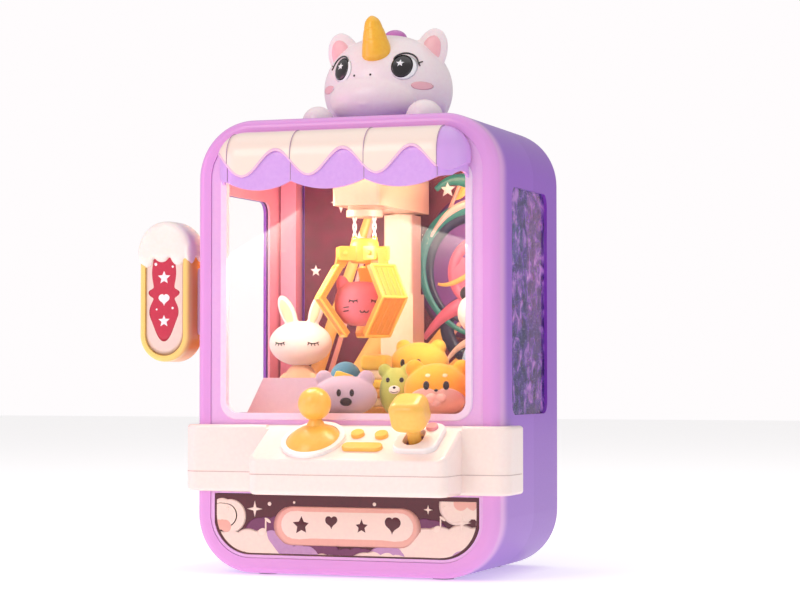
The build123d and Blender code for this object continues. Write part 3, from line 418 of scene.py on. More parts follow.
finishes["steel"] = turned_steel()
finishes["lamp_frost"] = lamp_glow()
finishes["clear"] = clear_sheet()
finishes["printed_window"] = night_sky_sheet()

# %% [markdown]
# ## Short plush
#
# The prizes are cut from short-pile velboa. Seen closely it is a fine nap that catches light at
# glancing angles and looks a little patchy where the pile lies differently. Sheen gives the soft
# bright rim, two noises give the patches and the nap. A single fibre, about 0.05 mm, is too fine
# to show, so the nap is drawn at 0.7 mm.

# %% Plush
NAP_MM = 0.7
PATCH_MM = 9


def plush(name, colour, shaded):
    material, shader = new_material(
        name,
        Roughness=0.85,
        IOR=1.45,
        Sheen_Weight=0.35,
        Sheen_Roughness=0.4,
        Subsurface_Weight=0.1,
        Subsurface_Scale=0.003,
    )
    patches = add_node(
        material, "ShaderNodeTexNoise", {"Vector": place_in_mm(material, PATCH_MM), "Detail": 4}
    )
    nap = add_node(
        material, "ShaderNodeTexNoise", {"Vector": place_in_mm(material, NAP_MM), "Detail": 2}
    )
    colours = blend(material, patches.outputs["Fac"], linear(colour), linear(shaded))
    link(material, colours, shader.inputs["Base Color"])
    bump = add_node(
        material,
        "ShaderNodeBump",
        {"Height": nap.outputs["Fac"], "Strength": 0.35, "Distance": 0.0004},
    )
    link(material, bump.outputs["Normal"], shader.inputs["Normal"])
    return material


plushes = {
    "white": plush("white_velboa", "#FFF9F4", "#FBEDE6"),
    "peach": plush("peach_velboa", "#F9D3B0", "#F3C298"),
    "cream": plush("cream_velboa", "#FBE6C4", "#F6D9AC"),
    "mauve": plush("grey_mauve_velboa", "#C9B4C6", "#B9A2B8"),
    "rose": plush("rose_velboa", "#F58C96", "#EE7A88"),
    "orange": plush("marigold_velboa", "#FFB234", "#F79F22"),
    "muzzle": plush("blossom_velboa", "#F9C2B4", "#F4B0A4"),
    "green": plush("pistachio_velboa", "#C9D070", "#B6BE58"),
    "yellow": plush("sunflower_velboa", "#FFD65C", "#FAC63E"),
    "black": plush("black_velboa", "#2E2630", "#241C26"),
    "blue": plush("sky_velboa", "#A9CDEB", "#94BCE0"),
    "wafer": plush("wafer_velboa", "#F0B86C", "#E4A552"),
    "teal": plush("teal_velboa", "#5E9DB8", "#4C88A6"),
}
print("plush colours:", len(plushes))

# %% [markdown]
# ## Making a piece
#
# A piece is one mesh of one or more grids. It is welded, its faces are turned outwards, and it
# is given its finish and the body that it moves with. A stuffed piece starts as overlapping
# ellipsoids, which a voxel remesh melts into one skin, and a few smoothing passes round the
# valleys as stuffing does.

# %% Piece builders
import bmesh

VOXEL_MM = 0.9


def mesh_from(name, shapes):
    """All the grids in one mesh, welded at poles and seams, with faces outward."""
    points, faces, used = [], [], 0
    for rows, rows_wrap, columns_wrap in shapes:
        points.append(rows.reshape(-1, 3) * MM)
        faces.append(quads(rows.shape[:2], rows_wrap, columns_wrap) + used)
        used += rows.shape[0] * rows.shape[1]
    mesh = bpy.data.meshes.new(name)
    mesh.from_pydata(np.concatenate(points).tolist(), [], np.concatenate(faces).tolist())
    working = bmesh.new()
    working.from_mesh(mesh)
    bmesh.ops.remove_doubles(working, verts=working.verts, dist=0.004 * MM)
    bmesh.ops.dissolve_degenerate(working, edges=working.edges, dist=0.001 * MM)
    bmesh.ops.recalc_face_normals(working, faces=working.faces)
    working.to_mesh(mesh)
    working.free()
    return mesh


def piece(name, shapes, finish, body, smooth=True):
    """A finished piece at the origin, with its place in its mesh."""
    mesh = mesh_from(name, shapes)
    mesh.shade_smooth() if smooth else mesh.shade_flat()
    made = bpy.data.objects.new(name, mesh)
    bpy.context.collection.objects.link(made)
    mesh.materials.append(finish)
    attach(made, body)
    return made


def melted(name, shapes, finish, body, slot, floor_mm=None, voxel=VOXEL_MM, passes=8):
    """Overlapping grids melted into one skin. Points below floor_mm are set down on it."""
    made = piece(name, shapes, finish, body)
    skin = made.modifiers.new("skin", "REMESH")
    skin.mode, skin.voxel_size, skin.use_smooth_shade = "VOXEL", voxel * MM, True
    rounding = made.modifiers.new("rounding", "SMOOTH")
    rounding.factor, rounding.iterations = 0.5, passes
    settled = made.evaluated_get(bpy.context.evaluated_depsgraph_get())
    mesh = bpy.data.meshes.new_from_object(settled)
    made.modifiers.clear()
    made.data = mesh
    if floor_mm is not None:
        places = np.empty(len(mesh.vertices) * 3)
        mesh.vertices.foreach_get("co", places)
        places[2::3] = np.maximum(places[2::3], floor_mm * MM)
        mesh.vertices.foreach_set("co", places)
    mesh.materials.clear()
    mesh.materials.append(finish)
    mesh.shade_smooth()
    return made


# %% [markdown]
# ## Faces and details that hug a round form
#
# Eyes, noses, lashes and blush are pressed or stitched onto a round face, so they have to follow
# it. A flat outline is laid on the foremost of a set of ellipsoids: for each x and z the formula
# of the ellipsoid gives y. A dot is a shallow lens with its rim sunk into the face, and a line
# is a thin tube along the face.

# %% Hugging helpers


def front_of(forms, x, z):
    """The smallest y at x, z on any of the ellipsoids: centre y minus half y times the root of
    one minus the squares of the relative x and z."""
    nearest = np.full(np.broadcast(x, z).shape, np.inf)
    for (cx, cy, cz), (hx, hy, hz) in forms:
        rest = 1 - ((x - cx) / hx) ** 2 - ((z - cz) / hz) ** 2
        surface = cy - hy * np.sqrt(np.clip(rest, 0, 1))
        nearest = np.minimum(nearest, np.where(rest > 0, surface, np.inf))
    outside = ~np.isfinite(nearest)
    fallback = max(cy for (_, cy, _), _ in forms)
    return np.where(outside, fallback, nearest)


def outline_star(outer, inner, points=5, turn=90):
    """Radius by angle of a star: straight edges from each tip to the notch beside it."""
    half = np.pi / points

    def radius(angle):
        along = np.abs((angle - math.radians(turn) + half) % (2 * half) - half)
        tip = np.array([outer, 0])
        notch = np.array([inner * np.cos(half), inner * np.sin(half)])
        edge = notch - tip
        return (tip[0] * edge[1] - tip[1] * edge[0]) / (
            np.cos(along) * edge[1] - np.sin(along) * edge[0]
        )

    return radius


def outline_ellipse(half_x, half_z):
    """Radius by angle of an ellipse: a b over the root of (b cos)^2 + (a sin)^2."""

    def radius(angle):
        return half_x * half_z / np.hypot(half_z * np.cos(angle), half_x * np.sin(angle))

    return radius


def outline_bubbles(bubbles):
    """Radius by angle of a union of circles (x, z, r), each holding the middle point: the far
    hit of a ray from the middle with each circle, and the farthest of those."""

    def radius(angle):
        far = 0 * angle
        for x, z, r in bubbles:
            along = x * np.cos(angle) + z * np.sin(angle)
            rest = r * r - x * x - z * z + along**2
            far = np.maximum(far, np.where(rest > 0, along + np.sqrt(np.abs(rest)), 0))
        return far

    return radius


def outline_heart(size):
    """Radius by angle, from its upper notch, of a heart of that height: 2 - 2 sin + the side
    lobes, sin root |cos| / (sin + 1.4), all over 4."""

    def radius(angle):
        sine, cosine = np.sin(angle), np.cos(angle)
        return size / 4 * (2 - 2 * sine + sine * np.sqrt(np.abs(cosine)) / (sine + 1.4))

    return radius


def lens(x, z, outline, face, height=0.5, sunk=0.6, rings=7, steps=48):
    """A closed lens: out from the middle over the front, over the rim and back underneath. Face
    gives y for an x and z, and the front stands proud by height times root(1 - rho^2)."""
    rho = np.concatenate([np.linspace(0, 1, rings), np.linspace(1, 0, 3)[1:]])[:, None]
    proud = np.where(np.arange(len(rho)) < rings, 1, 0)[:, None]
    angle = np.linspace(0, FULL_TURN, steps, endpoint=False)[None, :]
    reach = outline(angle) * rho
    px, pz = x + reach * np.cos(angle), z + reach * np.sin(angle)
    lift = proud * height * np.sqrt(1 - 0.9 * rho**2) - (1 - proud) * sunk
    return grid(np.stack([px, face(px, pz) - lift, pz], -1), columns_wrap=True)


def thread(points, radius, face, proud=0.1, count=26):
    """A tube through smoothed points (x, z) laid on a face, thinned at both ends."""
    points = np.asarray(points, float)
    at = np.linspace(0, 1, len(points))
    fine = np.linspace(0, 1, count)
    degree = min(3, len(points) - 1)
    x = np.polyval(np.polyfit(at, points[:, 0], degree), fine)
    z = np.polyval(np.polyfit(at, points[:, 1], degree), fine)
    thin = radius * np.sqrt(np.clip(1 - (2 * fine - 1) ** 8, 0.1, 1))
    path = np.stack([x, face(x, z) - proud, z], -1)
    return tube(path, thin, 8)


def closed_lashes(x, z, width, face, radius=0.42, ticks=4):
    """A sleeping eye: a shallow arc sagging in the middle, with short ticks below it."""
    reach = np.linspace(-0.5, 0.5, 5)
    arc = np.stack([x + width * reach, z - width * 0.16 * (1 - (2 * reach) ** 2)], -1)
    shapes = [thread(arc, radius, face)]
    for place in np.linspace(-0.36, 0.36, ticks):
        top = z - width * 0.16 * (1 - (2 * place) ** 2)
        root = (x + width * place, top)
        tip = (x + width * place * 1.35, top - width * 0.24)
        shapes.append(thread([root, tip], radius * 0.8, face))
    return shapes


# %% [markdown]
# ## Finishes on the CAD pieces
#
# A CAD piece already has the right shape, so it only needs a material. The record names a slot
# for every node, and the table above gives each slot its finish.

# %% Dress the CAD pieces
slot_of = {entry["node"]: entry["material_slot"] for entry in frame["record"]["subparts"]}
own_finish = {
    "awning": "awning_lilac",
    "round_button_left": "yellow_knob",
    "awning_icing": "icing_cream",
    "side_panes": "printed_window",
    "rear_door": "shell_violet",
}
for label, node in nodes.items():
    chosen = finishes.get(own_finish.get(label, slot_of[label]), finishes["print_cream"])
    for holder in node.material_slots:
        holder.material = chosen
print("CAD pieces dressed:", len(nodes))

# %% [markdown]
# ## The unicorn topper
#
# The topper is one hollow moulding, resting its chin and paws on the roof. Its head is a wide
# egg with a broad low muzzle, so it is two ellipsoids melted together, with the ears and paws.
# The eyes, nostrils, lashes and blush are printed and slightly raised.

# %% Unicorn head
roof_z = extent("unicorn_head")[0][2]
head_forms = [((0, 15, 374), (51.5, 43.5, 43.5)), ((-2, -12, 364), (36, 22, 22))]
head_shapes = [ellipsoid(centre, halves, 48, 72) for centre, halves in head_forms]
head_shapes.append(ellipsoid((-3, -27, 359), (10, 7, 4)))
for side, ear_x in ((-1, -36), (1, 36)):
    head_shapes.append(ellipsoid((ear_x, 13, 402), (13.5, 5, 20), lean=side * 18))
for paw_x, paw_r in ((-38.5, 12.5), (48, 14.5)):
    head_shapes.append(ellipsoid((paw_x, -37, 345), (paw_r, paw_r, paw_r)))
unicorn = melted(
    "unicorn_skin", head_shapes, finishes["unicorn_pink"], "cabinet", "unicorn_pink",
    floor_mm=roof_z, voxel=1.2,
)
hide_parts("unicorn_head")


def on_head(x, z):
    return front_of(head_forms, x, z)


# %% Unicorn face
EYES = ((24, 388, 7.6, 9.2), (-26, 388, 6.6, 9.2))
whites = [lens(x + 1.6, z - 1.2, outline_ellipse(w + 1.6, h + 0.6), on_head, 0.25) for x, z, w, h in EYES]
piece("unicorn_eye_whites", whites, finishes["print_white"], "cabinet")
pupils = [lens(x, z, outline_ellipse(w, h), on_head, 0.9) for x, z, w, h in EYES]
piece("unicorn_pupils", pupils, finishes["print_black"], "cabinet")
stars = [lens(x - 1.2, z + 2.2, outline_star(3.6, 1.7), on_head, 1.3, steps=80) for x, z, w, h in EYES]
piece("unicorn_eye_stars", stars, finishes["print_white"], "cabinet")
lash_lines = []
for x, z, w, h in EYES:
    side = 1 if x > 0 else -1
    sweep = np.radians(np.linspace(150, 15, 7))
    arc = np.stack([x + side * (w + 1.8) * np.cos(sweep) + side * 1.5, z + (h + 1.6) * np.sin(sweep)], -1)
    lash_lines.append(thread(arc, 0.75, on_head, 0.4, 40))
    corner = arc[-1]
    lash_lines.append(thread([corner, corner + (side * 1.6, -2.4)], 0.6, on_head, 0.4))
    lash_lines.append(thread([corner, corner + (side * 2.6, 1.6)], 0.6, on_head, 0.4))
for nostril_x in (-13, 0.8):
    lash_lines.append(lens(nostril_x, 381.5, outline_ellipse(0.9, 0.9), on_head, 0.5))
piece("unicorn_lashes", lash_lines, finishes["print_black"], "cabinet")
blushes = [lens(x, 373, outline_ellipse(7, 3.2), on_head, 0.22) for x in (38, -39)]
piece("unicorn_blush", blushes, finishes["blush"], "cabinet")

# %% Unicorn ears, horn and mane
inner_ears = [
    ellipsoid((side * 36.6, 9.2, 401.5), (8.2, 2.2, 14), lean=side * 18) for side in (-1, 1)
]
piece("unicorn_inner_ears", inner_ears, finishes["blush"], "cabinet")
HORN_BASE = np.array([2.6, -14.5, 391.0])
HORN_TIP = np.array([-1.0, -20.6, 428.2])
HORN_R = 12.6
along = 0.5 - 0.5 * np.cos(np.linspace(0, np.pi, 90))
horn_path = HORN_BASE + (HORN_TIP - HORN_BASE) * along[:, None]
round_foot = np.sqrt(1 - np.clip((0.22 - along) / 0.22, 0, 0.999) ** 2)
round_tip = np.sqrt(1 - np.clip((along - 0.86) / 0.14, 0, 0.999) ** 2)
horn_radius = HORN_R * (1 - 0.66 * along**1.6) * round_foot * round_tip
for ring_at in (0.5, 0.74):
    horn_radius *= 1 - 0.03 * np.exp(-(((along - ring_at) / 0.02) ** 2))
horn = piece(
    "unicorn_spiral_horn", [tube(horn_path, horn_radius, 40)], finishes["horn_yellow"], "cabinet",
)
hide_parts("unicorn_horn")
mane_shapes = []
HEAD_CENTRE, HEAD_ROUND = (2, 15, 374), 43.5
for back_angle, puff in ((14, 10), (36, 13), (60, 13), (84, 11)):
    lean = math.radians(back_angle)
    place = (2, HEAD_CENTRE[1] + HEAD_ROUND * math.sin(lean), HEAD_CENTRE[2] + HEAD_ROUND * math.cos(lean))
    mane_shapes.append(ellipsoid(place, (puff * 0.95, puff, puff * 0.72)))
mane = melted(
    "unicorn_puffed_mane", mane_shapes, finishes["mane_magenta"], "cabinet", "mane_magenta", passes=4
)
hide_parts("unicorn_mane")

# %% [markdown]
# ## Plush prizes
#
# Each toy is a small stuffed animal of its own, seen through the window, so each is modelled by
# itself: a body, a head and ears of ellipsoids melted into one skin, then a face in stitches.
# Most of the animals are turned to the player's right, as if they had just tumbled.

# %% Prize helper
PRIZE_FLOOR = 119.3


def stuffed(name, node, cloth, forms, centre=None, turn=0, fill=0.8, leans=None, **melting):
    """A skin of ellipsoids (centre, halves), melted into one. The first one made stands for the CAD solid.
    """
    leans = leans or [0] * len(forms)
    shapes = [ellipsoid(c, h, 32, 48, lean=lean) for (c, h), lean in zip(forms, leans)]
    if turn:
        shapes = [turned(shape, centre, turn) for shape in shapes]
    made = melted(name, shapes, plushes[cloth], body_of_node[node], "plush", **melting)
    if node not in replaced:
        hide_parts(node)
        replaced.add(node)
    return made


def pair(places_x, y, z, halves):
    """Two equal ellipsoids side by side: ears, arms or feet."""
    return [((x, y, z), halves) for x in places_x]


def skin_of(forms):
    """The front of a skin made of these ellipsoids, as y for any x and z."""
    return lambda x, z: front_of(forms, x, z)


def stitched(name, node, shapes, finish, centre=(0, 0), turn=0):
    """Stitched or pressed details of a prize's face, turned with it."""
    shapes = [turned(shape, centre, turn) for shape in shapes]
    return piece(name, shapes, finish, body_of_node[node])


replaced = set()
body_of_node = {}
for body_name, body_nodes in frame["record"]["behaviour"]["bodies"].items():
    for label in body_nodes:
        body_of_node[label] = body_name

# %% [markdown]
# ## Bunny
#
# The bunny is a wide head on a small peach body, with two long ears. The ears could be bent tubes,
# but a stretched ellipsoid leaning outwards already has an ear's swell and round tip. The closed
# eyes are threads laid on the head's own formula, so they follow its curve.

# %% Bunny
BUNNY, BUNNY_TURN = (-80, 29), 10
bunny_head = [((-80, 29, 176), (25.5, 18, 18))]
bunny_ears = [((-91, 31, 201), (6.4, 4.2, 15)), ((-67.5, 31, 202), (5.8, 4.2, 15.5))]
stuffed(
    "bunny_head_skin", "prize_bunny", "white", bunny_head + bunny_ears, BUNNY, BUNNY_TURN,
    leans=[0, -24, 17],
)
bunny_body = [((-80, 30, 140), (15.5, 13, 20.5))] + pair((-94, -66), 25, 141, (5, 5.5, 12))
stuffed(
    "bunny_body_skin", "prize_bunny", "peach", bunny_body, BUNNY, BUNNY_TURN, leans=[0, 14, -14],
    floor_mm=PRIZE_FLOOR
)
on_bunny = skin_of(bunny_head)
bunny_lashes = closed_lashes(-93.5, 177, 8.5, on_bunny) + closed_lashes(-66.5, 177, 8.5, on_bunny)
stitched("bunny_lashes", "prize_bunny", bunny_lashes, finishes["print_black"], BUNNY, BUNNY_TURN)
inner = [
    ellipsoid((-91.3, 27.6, 201), (3.8, 1.6, 11), lean=-24),
    ellipsoid((-67.3, 27.6, 202), (3.4, 1.6, 11), lean=17)
]
stitched("bunny_inner_ears", "prize_bunny", inner, plushes["cream"], BUNNY, BUNNY_TURN)

# %% [markdown]
# ## Grey bear
#
# A head wider than it is high, with round ears half sunk in it. The eyes and the nose are padded
# ovals, stitched on, so each is a shallow lens that hugs the head rather than a flat disc.

# %% Grey bear
BEAR, BEAR_TURN = (-8, -58.5), 20
bear_head = [((-8, -58.5, 134.8), (24.5, 15, 15.5))]
bear_ears = pair((-24, 8), -57, 148, (6.5, 5, 6.5))
stuffed(
    "grey_bear_skin", "prize_bear", "mauve", bear_head + bear_ears, BEAR, BEAR_TURN,
    floor_mm=PRIZE_FLOOR
)
on_bear = skin_of(bear_head)
bear_face = [lens(x, 137.4, outline_ellipse(1.7, 2.8), on_bear, 0.6) for x in (-12.4, -2.6)]
bear_face.append(lens(-7, 130.6, outline_ellipse(4.6, 3.3), on_bear, 1.2))
stitched("grey_bear_face", "prize_bear", bear_face, plushes["black"], BEAR, BEAR_TURN)

# %% [markdown]
# ## Pistachio bear
#
# The smallest toy stands upright: one tall ellipsoid and two ears. Its mouth is a single thread
# through five points, which is how it would be sewn.

# %% Pistachio frog-bear
FROG, FROG_TURN = (25.5, -38), 12
frog_forms = [((25.5, -38, 138), (12.6, 12, 18.5))]
frog_ears = pair((17, 34), -37, 154, (5.4, 4.4, 5.4))
stuffed(
    "green_bear_skin", "prize_frog", "green", frog_forms + frog_ears, FROG, FROG_TURN,
    floor_mm=PRIZE_FLOOR
)
on_frog = skin_of(frog_forms)
frog_face = [lens(x, 147, outline_ellipse(1.6, 1.9), on_frog, 0.6) for x in (20.5, 31)]
frog_face.append(lens(25.8, 141.2, outline_ellipse(1.3, 1.0), on_frog, 0.9))
frog_face.append(
    thread([(22.8, 138.6), (24.3, 137.2), (25.8, 138.4), (27.3, 137.2), (28.8, 138.6)], 0.4, on_frog)
)
stitched("green_bear_face", "prize_frog", frog_face, plushes["black"], FROG, FROG_TURN)
stitched(
    "green_bear_muzzle", "prize_frog", [lens(25.8, 139.6, outline_ellipse(4.4, 3.2), on_frog, 0.5)],
    plushes["white"], FROG, FROG_TURN
)

# %% [markdown]
# ## Orange puppy
#
# The pale lower face is a patch of shorter pile, and its top edge dips between the eyes, so the
# patch is an oval whose radius is lowered there by a smooth bump. The muzzle is three small lobes
# melted together, which leaves the creases between them.

# %% Orange puppy
DOG, DOG_TURN = (63, -51), 16
dog_head = [((63, -51, 139.6), (24.8, 19.2, 20))]
dog_ears = pair((46, 81), -50, 155.4, (7, 5, 7))
stuffed("puppy_skin", "prize_dog", "orange", dog_head + dog_ears, DOG, DOG_TURN, floor_mm=PRIZE_FLOOR)
on_dog = skin_of(dog_head)
def puppy_cheeks(angle):
    """The pale lower face: a wide oval whose top edge dips in the middle, between the eyes."""
    wide = outline_ellipse(22, 12)(angle)
    return wide * (1 - 0.28 * np.exp(-(((angle - np.pi / 2) / 0.5) ** 2)))


stitched(
    "puppy_pale_face", "prize_dog", [lens(63, 130.5, puppy_cheeks, on_dog, 0.45, rings=14, steps=80)],
    plushes["muzzle"], DOG, DOG_TURN
)
puppy_dark = [lens(x, 143, outline_ellipse(2.3, 3.3), on_dog, 0.8) for x in (55.6, 70.4)]
puppy_dark.append(lens(63, 139.4, outline_ellipse(1.5, 1.0), on_dog, 1.6))
stitched("puppy_eyes_nose", "prize_dog", puppy_dark, plushes["black"], DOG, DOG_TURN)
lobes = pair((59.6, 66.4), -69.4, 133.6, (4.4, 3.2, 3.8)) + [((63, -69.2, 129.8), (3.6, 3, 3.2))]
stuffed("puppy_muzzle", "prize_dog", "muzzle", lobes, DOG, DOG_TURN, voxel=0.5, passes=3)
brows = [lens(x, 150.4, outline_ellipse(1.9, 1.3), on_dog, 0.4) for x in (56.6, 69.4)]
stitched("puppy_brows", "prize_dog", brows, plushes["cream"], DOG, DOG_TURN)

# %% [markdown]
# ## Yellow bear
#
# This bear sits behind the others with only its head and shoulders in sight. Head, body and ears
# are melted in one skin, because the neck of a soft toy is a shallow waist, not a joint.

# %% Yellow bear
SUNNY, SUNNY_TURN = (31, 0), -4
sunny_head = [((31, 0, 159), (24, 16.5, 17))]
sunny_rest = [((31, 2, 137.5), (19.5, 16, 18.2))] + pair((17, 46), 2, 172, (6.4, 5, 6.4))
stuffed(
    "yellow_bear_skin", "prize_yellow_bear", "yellow", sunny_head + sunny_rest, SUNNY, SUNNY_TURN,
    floor_mm=PRIZE_FLOOR
)
on_sunny = skin_of(sunny_head)
sunny_face = [lens(x, 160, outline_ellipse(2.0, 3.0), on_sunny, 0.7) for x in (23.6, 37)]
sunny_face.append(lens(30.4, 155, outline_ellipse(1.8, 1.2), on_sunny, 0.9))
stitched("yellow_bear_face", "prize_yellow_bear", sunny_face, plushes["black"], SUNNY, SUNNY_TURN)
sunny_blush = [lens(x, 152.6, outline_ellipse(4.0, 2.6), on_sunny, 0.4) for x in (18.4, 43.4)]
stitched("yellow_bear_blush", "prize_yellow_bear", sunny_blush, plushes["orange"], SUNNY, SUNNY_TURN)

# %% [markdown]
# ## Panda in a blue shirt
#
# Three cloths make the panda, so it is three skins: a white head, a blue shirt with its sleeves,
# and black ears and feet. The black eye patches lean outwards, and each has a white glint.

# %% Panda in a blue shirt
PANDA, PANDA_TURN = (74, 31), 38
panda_head = [((74, 31, 199), (21.5, 18.5, 19))]
stuffed("panda_head_skin", "prize_panda", "white", panda_head, PANDA, PANDA_TURN)
panda_shirt = [((74, 33, 158), (13.5, 12.5, 27))] + pair((61, 87), 29, 165, (5.5, 5.5, 12))
stuffed("panda_shirt_skin", "prize_panda", "blue", panda_shirt, PANDA, PANDA_TURN, leans=[0, 18, -18])
panda_black = pair((60.5, 87.5), 33, 214, (6.2, 4.6, 6.2)) + pair((66, 82), 30, 126, (7, 8, 7))
stuffed("panda_ears_feet", "prize_panda", "black", panda_black, PANDA, PANDA_TURN, floor_mm=PRIZE_FLOOR)
on_panda = skin_of(panda_head)
def outline_slanted(half_x, half_z, slant):
    return lambda angle: outline_ellipse(half_x, half_z)(angle - math.radians(slant))


patches_black = []
for x, slant in ((65.4, 48), (82.6, -48)):
    patches_black.append(lens(x, 199, outline_slanted(5.2, 3.6, slant), on_panda, 0.5))
patches_black.append(lens(74, 193, outline_ellipse(1.9, 1.3), on_panda, 0.9))
stitched("panda_face", "prize_panda", patches_black, plushes["black"], PANDA, PANDA_TURN)
glints = [lens(x, 200, outline_ellipse(1.0, 1.2), on_panda, 1.1) for x in (66.4, 81.6)]
stitched("panda_eye_glints", "prize_panda", glints, finishes["print_white"], PANDA, PANDA_TURN)

# %% [markdown]
# ## Cake and cheese trinkets
#
# A layer cake is a stack of soft round cushions, alternating sponge and cream, with the cream a
# little narrower. A flatter formula than a ball's gives the layers their boxy edge.

# %% Cake and cheese trinkets
CAKE, CAKE_HALF, CREAM_HALF = (1.5, -16), 10.8, 9.6
BALL = (-20, -26)
layer_z = np.array([PRIZE_FLOOR, 126.5, 133, 140, 147, 154.5, 166])
for index, cloth in enumerate(("wafer", "cream", "wafer", "yellow", "cream", "yellow")):
    low, high = layer_z[index], layer_z[index + 1]
    half = CREAM_HALF if cloth == "cream" else CAKE_HALF
    shape = ellipsoid((*CAKE, (low + high) / 2), (half, half, (high - low) / 2 + 0.5), square=0.45)
    cake = piece(f"layer_cake_{index + 1}", [shape], plushes[cloth], body_of_node["prize_trinkets"])
    if index == 0:
        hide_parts("prize_trinkets")
balls = [ellipsoid((*BALL, 149), (12, 12, 12)), ellipsoid((*BALL, 130.5), (9, 9, 11.2))]
stuffed_ball = piece("capsule_ball", balls, plushes["teal"], body_of_node["prize_trinkets"])
wedge = turned(ellipsoid((-20, -36.6, 147), (7.4, 3.4, 5.6), square=0.35, lean=18), BALL, 12)
cheese = piece("cheese_block", [wedge], plushes["yellow"], body_of_node["prize_trinkets"])
SPOTS = ((-23.6, 148.6, 1.0), (-18.4, 147, 1.0), (-20.4, 143.8, 1.5))
cheese_face = [lens(x, z, outline_ellipse(r, r), lambda px, pz: px * 0 - 39.8, 0.5) for x, z, r in SPOTS]
stitched("cheese_spots", "prize_trinkets", cheese_face, plushes["wafer"], BALL, 12)

# %% [markdown]
# ## Rose cat in the claw
#
# The cat's head is a boxy ball held by the three fingers. Its front is the head's formula solved
# for y, so the lashes, whiskers and mouth can be threads lying exactly on it.

# %% Rose cat in the claw
cat_low, cat_high = extent("prize_cat")
CAT = tuple((cat_low[:2] + cat_high[:2]) / 2)
CAT_Z, CAT_TURN = (cat_low[2] + cat_high[2]) / 2, 30
CAT_HALVES, CAT_SQUARE = (20, 16.5, 17), 0.82
cat_head = ellipsoid((*CAT, CAT_Z), CAT_HALVES, 40, 64, square=CAT_SQUARE)
cat_ears = []
for side in (-1, 1):
    ear_spot = (CAT[0] + side * 13.5, CAT[1] + 1, CAT_Z + 13.2)
    cat_ears.append(ellipsoid(ear_spot, (5.2, 4.2, 8.6), lean=side * 14))
cat_shapes = [turned(shape, CAT, CAT_TURN) for shape in [cat_head] + cat_ears]
cat = melted(
    "rose_cat_skin", cat_shapes, plushes["rose"], body_of_node["prize_cat"], "plush", voxel=0.7,
    passes=6
)
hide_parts("prize_cat")


def on_cat(x, z):
    """The boxy head's front: its formula solved for y, with the powers that its squareness gives."""
    power = 2 / CAT_SQUARE
    half_x, half_y, half_z = CAT_HALVES
    across = np.abs((x - CAT[0]) / half_x) ** power + np.abs((z - CAT_Z) / half_z) ** power
    return CAT[1] - half_y * np.clip(1 - across, 0, 1) ** (1 / power)


cat_lines = closed_lashes(CAT[0] - 8.4, CAT_Z + 2.6, 6.6, on_cat, 0.45, 3)
cat_lines += closed_lashes(CAT[0] + 8.4, CAT_Z + 2.6, 6.6, on_cat, 0.45, 3)
for side in (-1, 1):
    for drop in (3.4, 6.2):
        whisker = [(CAT[0] + side * 11.4, CAT_Z - drop + 0.6), (CAT[0] + side * 15.4, CAT_Z - drop)]
        cat_lines.append(thread(whisker, 0.36, on_cat))
    reach = np.radians(np.linspace(180, 360, 6))
    curl = np.stack([CAT[0] + side * 1.6 + 1.6 * np.cos(reach), CAT_Z - 5.4 + 1.7 * np.sin(reach)], -1)
    cat_lines.append(thread(curl, 0.4, on_cat))
stitched("rose_cat_face", "prize_cat", cat_lines, finishes["print_black"], CAT, CAT_TURN)

# %% [markdown]
# ## Claw: hub, chains and ribs
#
# The claw hangs from two short chains. A chain is one link repeated, each a quarter turn from
# the last, and a link is a tube along a stadium outline. The fingers are flat plates bent at a
# knee, stiffened by raised ribs and a rolled border, so tubes laid along the plate's own profile
# give both.

# %% Chains and hub
CUP_R = 14
CLAW_X, CLAW_Y = 0.0, extent("trolley")[0][1] + CUP_R
LINK_PITCH, WIRE_R = 3.6, 0.62
CHAIN_X, CHAIN_LOW, CHAIN_HIGH = (-8, 8), 256.5, 282


def chain_link(x, y, z, quarter):
    """A stadium 5.2 long and 3.2 wide, upright, facing front or side."""
    turn = np.linspace(0, FULL_TURN, 28, endpoint=False)
    wide = 1.15 * np.cos(turn)
    tall = 1.15 * np.sin(turn) + 1.35 * np.sign(np.sin(turn))
    flat = 0 * turn
    parts = [x + (flat if quarter else wide), y + (wide if quarter else flat), z + tall]
    return tube(np.stack(parts, -1), WIRE_R, 8, True, across=(1, 0, 0) if quarter else (0, 1, 0))


links = []
for chain_x in CHAIN_X:
    for number, z in enumerate(np.arange(CHAIN_LOW, CHAIN_HIGH, LINK_PITCH)):
        links.append(chain_link(chain_x, CLAW_Y, z, number % 2))
piece("claw_chains", links, finishes["white_trim"], "claw")


def lathe(profile, centre, steps=56):
    """A profile of radius and height turned about an upright line: x and y are radius times the
    cosine and sine of the angle. The profile starts and ends on the line, so it is closed."""
    profile = np.asarray(profile, float)
    angle = np.linspace(0, FULL_TURN, steps, endpoint=False)[None, :]
    radius, height = profile[:, :1], profile[:, 1:]
    x, y = centre[0] + radius * np.cos(angle), centre[1] + radius * np.sin(angle)
    return grid(np.stack([x, y, height + 0 * angle], -1), columns_wrap=True)


hub_profile = [
    (0, 236), (9.6, 236), (10.8, 236.8), (11, 238), (11, 250), (10.4, 252.4), (8.6, 254), (4, 255),
    (0, 255.2)
]
hub_shapes = [lathe(hub_profile, (CLAW_X, CLAW_Y))]
for chain_x in CHAIN_X:
    ring_turn = np.linspace(0, FULL_TURN, 28, endpoint=False)
    eye = np.stack(
        [chain_x + 2 * np.cos(ring_turn), CLAW_Y + 0 * ring_turn, 254 + 2 * np.sin(ring_turn)], -1
    )
    hub_shapes.append(tube(eye, 0.7, 8, True, across=(0, 1, 0)))
FINGER_DIRECTIONS = {"finger_right": 330, "finger_left": 210, "finger_back": 90}


